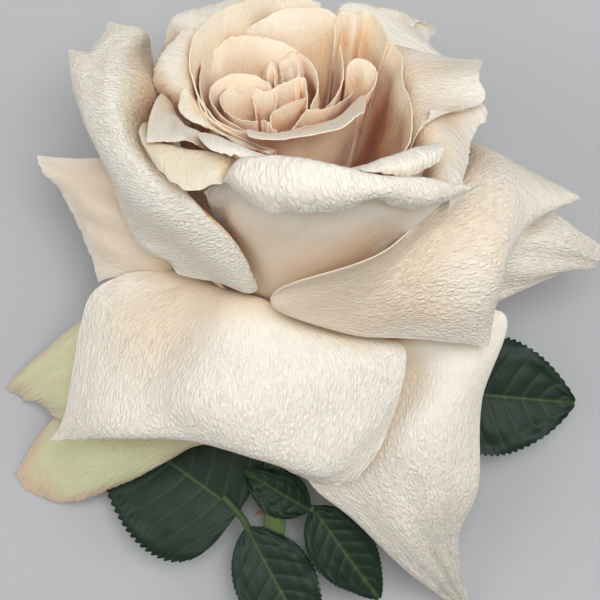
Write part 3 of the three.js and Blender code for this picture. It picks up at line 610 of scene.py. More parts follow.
@dataclass
class Petal:
    """One petal: its control rows, its fine relief and its tints."""

    name: str
    rows: list[np.ndarray]
    relief: Relief
    tints: Tints
    slot: Slot
    fineness: tuple[int, int] = (96, 84)
    thickness: float = 0.5
    outward: bool = False
    rim_share: float = 0.4
    points: np.ndarray | None = None

    def lay(self) -> np.ndarray:
        """Lays the petal's points, with its rim trimmed and its relief raised.

        Returns:
            Millimetre points, claw row first.
        """
        u = np.linspace(0, 1, self.fineness[0] + 1)
        v = np.linspace(0, 1, self.fineness[1] + 1)
        grid = surface(self.rows, u, v)
        grid = self._trim(grid, u, v)
        normal = normals_of(grid)
        lead = normal[len(v) // 2 :, :, 2].mean()
        if self.outward:
            away = grid - np.array(BLOOM.base)
            away -= (away @ BLOOM.axis)[..., None] * BLOOM.axis
            lead = (normal * away).sum(axis=2)[len(v) // 3 : 2 * len(v) // 3].mean()
        self.points = grid + normal * (self._lift(grid, u, v) * np.sign(lead))[..., None]
        return self.points

    def _trim(self, grid: np.ndarray, u: np.ndarray, v: np.ndarray) -> np.ndarray:
        """Draws the rim in by its notches and small uneven scallops."""
        r = self.relief
        bite = r.scallop * (0.5 + 0.5 * ripple(u, 0 * u, 9, r.seed)) * smooth(u, 0, 0.05) * smooth(u, 1, 0.95)
        for at, width, depth in r.notches:
            bite = bite + depth * np.exp(-(((u - at) / width) ** 2))
        along = np.gradient(grid, axis=0)
        along /= np.maximum(np.linalg.norm(along, axis=2, keepdims=True), 1e-9)
        return grid - along * (bite[None, :] * smooth(v, 0.8, 1.0)[:, None] ** 2)[..., None]

    def _lift(self, grid: np.ndarray, u: np.ndarray, v: np.ndarray) -> np.ndarray:
        """Adds up how far each point stands out of the smooth surface."""
        r = self.relief
        x, y = np.meshgrid(u, v)
        free = smooth(y, 0.25, 0.6)
        lift = r.swell * ripple(x, y * 1.2, 2.2, r.seed + 1) * free
        warp = x + 0.02 * ripple(x, y, 3, r.seed + 2)
        streak = ripple(warp * r.wrinkle_waves / 4, y * 1.3, 4, r.seed + 3, octaves=7)
        lift += r.wrinkle * streak * free
        lift += r.crinkle * ripple(x, y * 0.5, 14, r.seed + 4) * smooth(y, 0.86, 1.0)
        lift += r.curl * smooth(y, 0.84, 1.0) ** 2
        for u0, v0, u1, v1, width, height in r.folds:
            lift += height * self._along_line(grid, u, v, (u0, v0), (u1, v1), width)
        return lift

    def _along_line(self, grid: np.ndarray, u: np.ndarray, v: np.ndarray, start: tuple[float, float],
                    end: tuple[float, float], width: float) -> np.ndarray:
        """Gives 1 on a line over the blade, falling to 0 within a width in millimetres.

        Args:
            grid: the blade's points.
            u: places across.
            v: places along.
            start: the line's first end as (u, v).
            end: its other end.
            width: the half width at which it has faded.

        Returns:
            Strength at each point.
        """
        steps = np.linspace(0, 1, 24)
        ends = np.array([start, end])
        path = ends[0] + steps[:, None] * (ends[1] - ends[0])
        i = np.clip(np.rint(path[:, 1] * (len(v) - 1)), 0, len(v) - 1).astype(int)
        j = np.clip(np.rint(path[:, 0] * (len(u) - 1)), 0, len(u) - 1).astype(int)
        away = np.linalg.norm(grid[:, :, None, :] - grid[i, j][None, None], axis=3)
        near = np.exp(-((away / width) ** 2)) * (0.25 + 0.75 * np.sin(math.pi * steps))
        return near.max(axis=2)

    def masks(self, grid: np.ndarray) -> dict[str, np.ndarray]:
        """Works out the tint masks from the place along the petal and from the rim.

        Args:
            grid: the blade's points.

        Returns:
            One array of strengths for each mask.
        """
        rows, columns = grid.shape[:2]
        x, y = np.meshgrid(np.linspace(0, 1, columns), np.linspace(0, 1, rows))
        t = self.tints
        uneven = 0.1 * ripple(x, y, 3, self.relief.seed + 7)
        to_rim = np.minimum((1 - y) * 1.4, np.minimum(x, 1 - x) * 1.2 + smooth(y, 0.5, 0.1))
        # The blushing tint rises from the claw; where a petal lies in shade, and at the listed shade places,
        # it is painted shade.
        blush = t.blush * (1 - smooth(y + uneven, t.blush_and_shade_to - 0.45, t.blush_and_shade_to))
        for u, v, wide, long, strength in t.shade_patches:
            blush = blush + strength * np.exp(-(((x - u) / wide) ** 2) - ((y - v) / long) ** 2)
        return {
            "blush": np.clip(blush, 0, 1),
            "green": np.clip(t.green * smooth(y + uneven, t.green_from, t.green_from + 0.45), 0, 1),
            "rim": np.clip(t.edge * smooth(to_rim + 0.3 * uneven, 0.16, 0.0), 0, 1),
            "crepe": np.clip(t.crepe * smooth(y, t.crepe_from, min(t.crepe_from + 0.45, 1.0)), 0, 1) + 0 * x,
        }

    def build(self, painted_shade: ShadePainter) -> bpy.types.Object:
        """Models the petal.

        Args:
            painted_shade: works out how far each place lies among the other petals, for painted shade.

        Returns:
            The finished blade.
        """
        sheet = Sheet(self.name, self.points, self.thickness, self.rim_share, self.masks(self.points))
        blade = sheet.build()
        painted_shade.mark(blade, self.points)
        return blade


# ---- Finishes


class Graph:
    """Adds and links shader nodes with few words."""

    def __init__(self, tree: bpy.types.NodeTree) -> None:
        """Starts on a tree.

        Args:
            tree: the material's or group's node tree.
        """
        self.tree = tree

    def add(self, kind: str, inputs: dict[str | int, object] | None = None,
            **settings: object) -> bpy.types.Node:
        """Adds a node.

        Args:
            kind: the node's type.
            inputs: values or output sockets for its inputs, by name or place.
            settings: properties of the node.

        Returns:
            The node.
        """
        node = self.tree.nodes.new(kind)
        for key, value in settings.items():
            setattr(node, key, value)
        for key, value in (inputs or {}).items():
            if isinstance(value, bpy.types.NodeSocket):
                self.tree.links.new(value, node.inputs[key])
            else:
                node.inputs[key].default_value = value
        return node

    def mask(self, name: str) -> bpy.types.NodeSocket:
        """Reads a mask that the mesh carries."""
        return self.add("ShaderNodeAttribute", attribute_name=name).outputs["Fac"]

    def math(self, operation: str, a: object, b: object = 0.0) -> bpy.types.NodeSocket:
        """Combines two numbers."""
        return self.add("ShaderNodeMath", {0: a, 1: b}, operation=operation).outputs[0]

    def blend(self, share: object, a: object, b: object) -> bpy.types.NodeSocket:
        """Mixes colour a towards colour b."""
        node = self.add("ShaderNodeMix", data_type="RGBA")
        for key, value in (("Factor", share), (6, a), (7, b)):
            socket = node.inputs[key]
            if isinstance(value, bpy.types.NodeSocket):
                self.tree.links.new(value, socket)
            elif isinstance(value, float):
                socket.default_value = value
            else:
                socket.default_value = (*value, 1.0)
        return node.outputs[2]


def start_material(name: str) -> tuple[bpy.types.Material, Graph, bpy.types.NodeInputs]:
    """Starts a material, and gives the inputs of its shader."""
    material = bpy.data.materials.new(name)
    material.use_nodes = True
    return material, Graph(material.node_tree), material.node_tree.nodes["Principled BSDF"].inputs


def vein_group() -> bpy.types.NodeTree:
    """Makes the crepe of fine branching veins, shared by every petal.

    Returns:
        A node group that takes a place in millimetres and gives a height and a mask of the grooves, where
        shade is painted.
    """
    tree = bpy.data.node_groups.new("petal_veins", "ShaderNodeTree")
    tree.interface.new_socket("Place", in_out="INPUT", socket_type="NodeSocketVector")
    for name, value in (("Width", 1.0), ("Stretch", 3.4), ("Wander", 0.9)):
        tree.interface.new_socket(name, in_out="INPUT", socket_type="NodeSocketFloat").default_value = value
    for name in ("Height", "GrooveShade"):
        tree.interface.new_socket(name, in_out="OUTPUT", socket_type="NodeSocketFloat")
    g = Graph(tree)
    source = g.add("NodeGroupInput").outputs
    parts = g.add("ShaderNodeSeparateXYZ", {0: source["Place"]}).outputs
    x = g.math("DIVIDE", parts["X"], source["Width"])
    y = g.math("DIVIDE", parts["Y"], g.math("MULTIPLY", source["Width"], source["Stretch"]))
    place = g.add("ShaderNodeCombineXYZ", {"X": x, "Y": y}).outputs[0]
    drift = g.add("ShaderNodeTexNoise", {"Vector": place, "Scale": 0.55, "Detail": 2.0}).outputs["Color"]
    centred = g.add("ShaderNodeVectorMath", {0: drift, 1: (0.5, 0.5, 0.5)}, operation="SUBTRACT").outputs[0]
    push = g.add("ShaderNodeVectorMath", {0: centred, "Scale": source["Wander"]},
                 operation="SCALE").outputs[0]
    bent = g.add("ShaderNodeVectorMath", {0: place, 1: push}, operation="ADD").outputs[0]
    cells = g.add("ShaderNodeTexVoronoi", {"Vector": bent, "Scale": 1.0, "Randomness": 1.0},
                  feature="DISTANCE_TO_EDGE").outputs["Distance"]
    pillow = g.add("ShaderNodeMapRange", {"Value": cells, "From Min": 0.0, "From Max": 0.32},
                   interpolation_type="SMOOTHSTEP").outputs[0]
    small = g.add("ShaderNodeTexNoise", {"Vector": bent, "Scale": 1.7, "Detail": 3.0}).outputs["Fac"]
    broad = g.add("ShaderNodeTexNoise", {"Vector": place, "Scale": 0.35, "Detail": 2.0}).outputs["Fac"]
    height = g.math("ADD", g.math("MULTIPLY", pillow, 0.55), g.math("MULTIPLY", small, 0.7))
    height = g.math("ADD", height, g.math("MULTIPLY", broad, 0.5))
    # The grooves between the vein cells, where shade is painted.
    groove_shade = g.math("SUBTRACT", 1.0, pillow)
    g.add("NodeGroupOutput", {"Height": height, "GrooveShade": groove_shade})
    return tree


@dataclass(frozen=True)
class PetalFinish:
    """Living petal: soft, slightly translucent, with its colour by place, painted shade where other petals
    cover it, and a crepe of veins.
    """

    name: str
    cream: Colour = (0.90, 0.865, 0.785)
    # Painted shade: the colour turns from cream through warmer and peachy tones to a dark red-brown as a
    # place is more sheltered.
    warm_shade: Colour = (0.86, 0.77, 0.61)
    peach_shade: Colour = (0.81, 0.63, 0.44)
    deep_shade: Colour = (0.60, 0.32, 0.17)
    blush: Colour = (0.83, 0.67, 0.50)
    green: Colour = (0.60, 0.62, 0.30)
    rim: Colour = (0.90, 0.87, 0.79)
    shade_stops: tuple[float, float, float, float] = (0.22, 0.46, 0.72, 0.95)
    vein_width: float = 0.6
    vein_depth: float = 0.32
    # Painted shade in the vein grooves: its strength and its tone.
    groove_shade: float = 0.16
    groove_shade_tone: Colour = (0.85, 0.8, 0.72)
    roughness: float = 0.5
    specular: float = 0.3
    glow: float = 0.3
    scatter: Colour = (1.0, 0.62, 0.38)
    sheen: float = 0.12
    sheen_roughness: float = 0.4

    def make(self, veins: bpy.types.NodeTree) -> bpy.types.Material:
        """Builds the material.

        Args:
            veins: the shared crepe group.

        Returns:
            The material.
        """
        material, g, shader = start_material(self.name)
        place = g.add("ShaderNodeUVMap", uv_map="vein_map").outputs[0]
        crepe = g.add("ShaderNodeGroup", node_tree=veins)
        g.tree.links.new(place, crepe.inputs["Place"])
        crepe.inputs["Width"].default_value = self.vein_width
        # Painted shade: cream to dark red-brown by how sheltered each place is.
        shade_ramp = g.add("ShaderNodeValToRGB", {"Fac": g.mask("painted_shade")})
        ramp = shade_ramp.color_ramp
        ramp.interpolation = "EASE"
        for place_on, tone in zip(self.shade_stops, (self.cream, self.warm_shade, self.peach_shade, self.deep_shade)):
            stop = ramp.elements.new(place_on)
            stop.color = (*tone, 1.0)
        ramp.elements.remove(ramp.elements[0])
        ramp.elements.remove(ramp.elements[-1])
        # The blushing tint from the claw, which is also painted shade where a petal lies in shade.
        colour = g.blend(g.math("MULTIPLY", g.mask("blush"), 0.75), shade_ramp.outputs[0], self.blush)
        colour = g.blend(g.mask("green"), colour, self.green)
        colour = g.blend(g.mask("rim"), colour, self.rim)
        strength = g.mask("crepe")
        # Painted shade in the grooves of the veins.
        tone = g.math("MULTIPLY", crepe.outputs["GrooveShade"], g.math("MULTIPLY", strength, self.groove_shade))
        colour = g.blend(tone, colour, tuple(c * k for c, k in zip(self.blush, self.groove_shade_tone)))
        height = g.math("MULTIPLY", crepe.outputs["Height"], strength)
        bump = g.add("ShaderNodeBump", {"Height": height, "Strength": 1.0, "Distance": self.vein_depth * MM})
        g.tree.links.new(colour, shader["Base Color"])
        g.tree.links.new(bump.outputs[0], shader["Normal"])
        shader["Roughness"].default_value = self.roughness
        shader["Specular IOR Level"].default_value = self.specular
        material.node_tree.nodes["Principled BSDF"].subsurface_method = "BURLEY"
        shader["Subsurface Weight"].default_value = self.glow
        shader["Subsurface Radius"].default_value = self.scatter
        shader["Subsurface Scale"].default_value = 1.0 * MM
        shader["Sheen Weight"].default_value = self.sheen
        shader["Sheen Roughness"].default_value = self.sheen_roughness
        return material


@dataclass(frozen=True)
class LeafFinish:
    """Leaf: dark green with a cool waxy bloom and paler veins."""

    name: str = "leaf_blade"
    blade: Colour = (0.005, 0.016, 0.009)
    light: Colour = (0.017, 0.042, 0.027)
    vein: Colour = (0.075, 0.12, 0.05)
    roughness: float = 0.5
    specular: float = 0.28

    def make(self) -> bpy.types.Material:
        """Builds the material."""
        material, g, shader = start_material(self.name)
        place = g.add("ShaderNodeTexCoord").outputs["Object"]
        cloud = g.add("ShaderNodeTexNoise", {"Vector": place, "Scale": 90.0, "Detail": 4.0}).outputs["Fac"]
        fine = g.add("ShaderNodeTexVoronoi", {"Vector": place, "Scale": 900.0}, feature="DISTANCE_TO_EDGE")
        colour = g.blend(g.math("MULTIPLY", cloud, 0.9), self.blade, self.light)
        colour = g.blend(g.mask("vein"), colour, self.vein)
        bump = g.add("ShaderNodeBump", {"Height": fine.outputs["Distance"], "Strength": 0.5,
                                        "Distance": 0.08 * MM})
        g.tree.links.new(colour, shader["Base Color"])
        g.tree.links.new(bump.outputs[0], shader["Normal"])
        shader["Roughness"].default_value = self.roughness
        shader["Specular IOR Level"].default_value = self.specular
        return material


@dataclass(frozen=True)
class StemFinish:
    """Stem, hip and sepals: mid green with long streaks and a red flush."""

    name: str = "stem_skin"
    green: Colour = (0.16, 0.26, 0.075)
    pale: Colour = (0.30, 0.40, 0.15)
    flush: Colour = (0.30, 0.10, 0.06)
    golden: Colour = (0.60, 0.38, 0.17)
    roughness: float = 0.45

    def make(self) -> bpy.types.Material:
        """Builds the material."""
        material, g, shader = start_material(self.name)
        place = g.add("ShaderNodeTexCoord").outputs["Object"]
        stretched = g.add("ShaderNodeMapping", {"Vector": place, "Scale": (900.0, 60.0, 900.0)}).outputs[0]
        streak = g.add("ShaderNodeTexNoise", {"Vector": stretched, "Scale": 1.0,
                                              "Detail": 3.0}).outputs["Fac"]
        cloud = g.add("ShaderNodeTexNoise", {"Vector": place, "Scale": 60.0, "Detail": 2.0}).outputs["Fac"]
        colour = g.blend(streak, self.green, self.pale)
        patch = g.add("ShaderNodeMapRange", {"Value": cloud, "From Min": 0.5, "From Max": 0.75,
                                             "To Max": 0.5})
        colour = g.blend(patch.outputs[0], colour, self.flush)
        colour = g.blend(g.mask("flush"), colour, self.flush)
        colour = g.blend(g.mask("golden"), colour, self.golden)
        bump = g.add("ShaderNodeBump", {"Height": streak, "Strength": 0.4, "Distance": 0.15 * MM})
        g.tree.links.new(colour, shader["Base Color"])
        g.tree.links.new(bump.outputs[0], shader["Normal"])
        shader["Roughness"].default_value = self.roughness
        return material


@dataclass(frozen=True)
class FloorFinish:
    """Plain pale table."""

    name: str = "pale_table"
    colour: Colour = (0.50, 0.51, 0.53)
    roughness: float = 0.75

    def make(self) -> bpy.types.Material:
        """Builds the material."""
        material, _, shader = start_material(self.name)
        shader["Base Color"].default_value = (*self.colour, 1.0)
        shader["Roughness"].default_value = self.roughness
        return material


# ---- Shapes of the petals, from the claw to the rim and from one side to the other
OUTER_PETALS: dict[str, list[list[Point]]] = {
    "front_low": [
        claw(105, 12.0, -0.5),
        [Over(196, 277, 3), Over(222, 289, 8), Over(247, 295, 13.5), Over(268, 302, 15.5),
         Over(296, 329, 9.4)],
        [Over(104, 283, 0.5), Over(140, 312, 5), Over(178, 328, 9.5), Over(216, 342, 17.5),
         Over(290, 368, 18), Over(352, 356, 15), Over(399, 343, 11.5)],
        [Over(81, 327, -3), Over(112, 366, 4.5), Over(150, 386, 8.5), Over(192, 402, 15), Over(280, 428, 16),
         Over(345, 420, 14), Over(401, 380, 10.5)],
        [Over(64, 415, -6), Over(100, 428, 3), Over(185, 438, 10), Over(265, 462, 11), Over(330, 476, 10),
         Over(386, 438, 9)],
        [Over(47, 442, -8), Over(98, 438, -1), Over(185, 436, 5), Over(262, 458, 5), Over(335, 487, 6),
         Over(358, 480, 9)],
    ],
    "front_right": [
        claw(62, 10.9, 1.5),
        [Over(277, 291, 27), Over(273, 298, 24), Over(275, 305, 23.4), Over(286, 314, 21.4)],
        [Over(388, 248, 39), Over(372, 262, 35), Over(362, 300, 25), Over(358, 336, 17)],
        [Over(462, 160, 14), Over(474, 186, 31), Over(462, 215, 30), Over(450, 262, 30), Over(440, 305, 26),
         Over(432, 341, 18)],
        [Over(464, 141, 9), Over(503, 161, 19), Over(512, 190, 26), Over(505, 230, 29), Over(492, 275, 27),
         Over(478, 315, 22), Over(468, 345, 16)],
        [Over(575, 195, 13), Over(562, 202, 16), Over(530, 224, 21), Over(505, 265, 22), Over(495, 305, 17),
         Over(488, 346, 13)],
        [Over(570, 199, 10), Over(552, 206, 10), Over(522, 226, 12), Over(497, 265, 13), Over(487, 303, 10),
         Over(482, 341, 9)],
    ],
    "right_back": [
        claw(18, 12.0, -0.5),
        [Round(-8, 19, 6), Round(18, 19, 7), Round(45, 19, 4)],
        [Over(440, 225, 10), Over(432, 270, 11), Over(425, 312, 6)],
        [Over(535, 208, 4), Over(515, 240, 9), Over(495, 272, 8), Over(484, 304, 2)],
        [Over(580, 231, -1), Over(572, 245, 2), Over(555, 264, 2), Over(535, 284, -2)],
        [Over(613, 254, -8), Over(611, 257, -8), Over(600, 263, -8), Over(585, 267, -8)],
    ],
    "left_long": [
        claw(158, 10.9, 1.5),
        [Round(218, 35, 26), Round(202, 29, 25), Round(184, 26.5, 20), Round(168, 23, 16),
         Round(152, 17.5, 11.5)],
        [Round(-137, 44, 38), Over(154, 80, 13), Over(144, 130, 21), Over(185, 191, 34), Over(232, 239, 31),
         Over(259, 288, 20.5)],
        [Over(146, 34, 12), Over(114, 72, 24), Over(118, 125, 30), Over(154, 200, 31.5), Over(203, 247, 27),
         Over(247, 292, 19)],
        [Over(122, 26, 15), Over(107, 46, 19), Over(90, 66, 21), Over(92, 115, 24), Over(122, 190, 24),
         Over(165, 243, 19), Over(213, 281, 14)],
        [Over(106, 19, 13), Over(99, 38, 16), Over(88, 51, 17), Over(69, 48, 16), Over(75, 97, 15),
         Over(106, 165, 12), Over(128, 224, 11.5), Over(149, 253, 11), Over(164, 257, 11.5),
         Over(178, 271, 10)],
    ],
    "left_back": [
        claw(182, 12.0, -0.5),
        [Over(215, 225, -5), Over(220, 255, -3), Over(228, 280, -4)],
        [Over(120, 162, 1), Over(135, 205, 5), Over(150, 250, 4), Over(165, 278, 0)],
        [Over(75, 159, -3), Over(85, 190, 1), Over(103, 235, 1), Over(120, 276, -3)],
        [Over(36, 155, -9), Over(50, 180, -7), Over(75, 218, -6), Over(99, 282, -8)],
    ],
    "left_guard": [
        claw(162, 13.0, -2.5),
        [Over(200, 295, -6), Over(205, 320, -4), Over(210, 350, -4)],
        [Over(110, 305, -12), Over(120, 345, -9.5), Over(130, 385, -10)],
        [Over(58, 338, -19), Over(63, 362, -17), Over(75, 395, -16), Over(85, 420, -16.5)],
        [Over(5, 387, -31.8), Over(20, 396, -30.4), Over(40, 404, -27), Over(52, 415, -24.5)],
    ],
    "low_guard": [
        claw(114, 13.0, -2.5),
        [Round(141, 15.5, -9), Round(128, 16.5, -9), Round(108, 16.5, -9)],
        [Over(130, 378, -18.5), Over(150, 402, -14.5), Over(185, 425, -10), Over(215, 440, -9)],
        [Over(62, 412, -26.5), Over(75, 445, -22), Over(115, 462, -16.5), Over(185, 450, -12.5)],
        [Over(16, 474, -31.2), Over(28, 492, -31.6), Over(60, 502, -29.5), Over(100, 494, -24),
         Over(140, 476, -18)],
    ],
    "right_low": [
        claw(70, 13.0, -2.5),
        [Round(97, 16, -6), Round(78, 16.5, -4.5), Round(58, 16.5, -3.5), Round(40, 16, -3)],
        [Over(285, 410, -1), Over(340, 400, 3), Over(400, 375, 3.5), Over(450, 350, 8), Over(503, 313, 8)],
        [Over(305, 475, -3), Over(350, 460, 1), Over(405, 440, 5), Over(450, 420, 6), Over(483, 398, 2)],
        [Over(345, 513, -7), Over(380, 510, -3), Over(415, 500, 0), Over(450, 485, 1), Over(478, 480, -3)],
        [Over(412, 575, -17), Over(425, 562, -13), Over(438, 552, -11), Over(450, 545, -11),
         Over(458, 540, -13)],
        [Over(462, 612, -31.6), Over(466, 612, -31.2), Over(470, 611, -30.8), Over(473, 608, -30.5)],
    ],
}
SPREAD = (24, 12, 0, -12, -24)
BACK_PETALS = (("back_left", -134, 4, 8), ("back_mid", -90, 0, 12.1), ("back_right", -45, 4, 8.2))
for petal_name, turn, drop, rise in BACK_PETALS:
    OUTER_PETALS[petal_name] = [
        claw(turn, 12.0, -0.5),
        [Round(turn + side, 21, rise - 3) for side in (18, 0, -18)],
        [Round(turn + side, 36 + drop, rise + 2) for side in SPREAD],
        [Round(turn + side, 43 + drop, rise) for side in SPREAD],
        [Round(turn + side, 45.5 + drop, rise - 5) for side in (14, 7, 0, -7, -14)],
    ]
CUP_PETALS: dict[str, RimSpec] = {
    "cup_front": rolled(9.8, 3.0, [Over(205, 193, 35), Over(221, 179, 41), Along(238, 161, 48.5),
        Along(272, 161, 50.5), Along(310, 165, 51.5), Along(350, 171, 51.5), Along(385, 177, 50.5),
        Along(425, 180, 49), Along(452, 183, 47), Along(468, 186, 45.5)], lip=[Over(207, 195, 34.6),
        Over(224, 183, 42), Over(237, 192, 46), Over(260, 210, 47.5), Over(298, 213, 49.5),
        Over(345, 212, 50), Over(374, 201, 50.5), Over(407, 209, 47), Over(447, 200, 43.5),
        Over(470, 188, 40)], roll=2.2, width=13, left=26, right=-4, tuck=0.17, middle=84),
    "cup_front_left": rolled(9.8, 3.0, [Along(149, 122, 41), Along(156, 142, 42.5), Along(178, 149, 43.5),
        Along(206, 153, 44.5), Along(228, 158, 45.0), Along(247, 165, 42)], lip=[Over(142, 134, 30),
        Over(149, 156, 34), Over(166, 178, 38), Over(190, 192, 41), Over(222, 184, 42.5),
        Over(240, 190, 38)], middle=150, roll=1.0, tuck=0.12),
    "cup_left_wall": rolled(8.7, 4.5, [Along(162, 93, 43), Along(167, 99, 42.5), Along(175, 113, 42.5),
        Along(184, 125, 43.5), Along(197, 132, 44), Along(214, 145, 41)], lip=[Over(147, 143, 35.5),
        Over(159, 142, 37), Over(173, 142, 37.5), Over(187, 141, 38.5), Over(200, 146, 38),
        Over(211, 156, 36)], roll=1.0, middle=173),
    "cup_front_inner": rolled(7.6, 6, [Along(201, 133, 46), Along(213, 135, 47.3), Along(232, 144, 48.5),
        Along(258, 153, 49), Along(280, 158, 49.3), Along(305, 162, 49.3), Along(337, 165, 48)],
        lip=[Over(201, 140, 43), Over(211, 150, 44.5), Over(226, 155, 46), Over(244, 158, 47.5),
        Over(266, 162, 48), Over(295, 165.5, 49), Over(335, 168, 49)], roll=0.8, middle=111, tuck=0.03),
    "cup_right_inner": rolled(7.6, 6, [Along(345, 168, 48.5), Along(371, 164, 49), Along(385, 159, 49.5),
        Along(400, 155, 49.5), Along(424, 146, 49.5), Along(441, 143, 48)], lip=[Over(350, 171, 50),
        Over(375, 173, 50), Over(405, 177, 47), Over(420, 172, 45), Over(436, 164, 43), Over(443, 153, 41)],
        roll=1.4, middle=47),
    "cup_left_upper": rolled(7.6, 6, [Along(206, 124, 38), Along(190, 98, 44.5), Along(187, 75, 47.5),
        Along(187, 50, 50.5), Along(197, 32, 52)], lip=[Along(184, 137, 35), Along(167, 106, 38),
        Along(154, 84, 42), Along(157, 62, 46), Along(184, 32, 52)], middle=-160),
    "cup_back_left": rolled(8.7, 4.5, [Along(160, 66, 40), Along(168, 45, 44), Along(182, 28, 49),
        Along(205, 18, 52), Along(232, 9, 53.5), Along(262, 0, 53.5)], lip=[Along(157, 62, 40.5),
        Along(164, 42, 44.5), Along(172, 22, 48), Along(198, 12, 50), Along(230, 3, 52), Along(262, -7, 52)],
        middle=-133),
    "cup_right_upper": rolled(8.7, 4.5, [Along(388, 44, 51), Along(404, 57, 51), Along(411, 80, 49.5),
        Along(416, 105, 47.5), Along(418, 135, 45.5)], lip=[Along(446, 70, 47), Along(482, 62, 45),
        Along(480, 80, 47.5), Along(485, 96, 45), Along(430, 110, 48)], middle=-16, roll=0.6),
    "cup_right_low": rolled(9.8, 3.0, [Round(33, 32.5, 41), Along(430, 150, 42.5), Along(425, 122, 45.3),
        Along(438, 107, 44), Along(458, 102, 42.5), Along(476, 100, 40.5)], lip=[Round(34, 35, 37),
        Over(463, 184, 33), Along(470, 150, 38), Along(478, 130, 39), Along(486, 117, 39.5),
        Along(482, 105, 40)], middle=3),
    "cup_back_right": rolled(9.8, 3.0, [Along(336, 30, 50), Along(343, 4, 53.5), Along(370, 9, 52),
        Along(395, 17, 50), Along(416, 25, 47)], lip=[Along(430, 92, 40), Along(447, 68, 42),
        Along(436, 50, 42), Along(430, 40, 41), Along(438, 31, 39)], middle=-70),
}
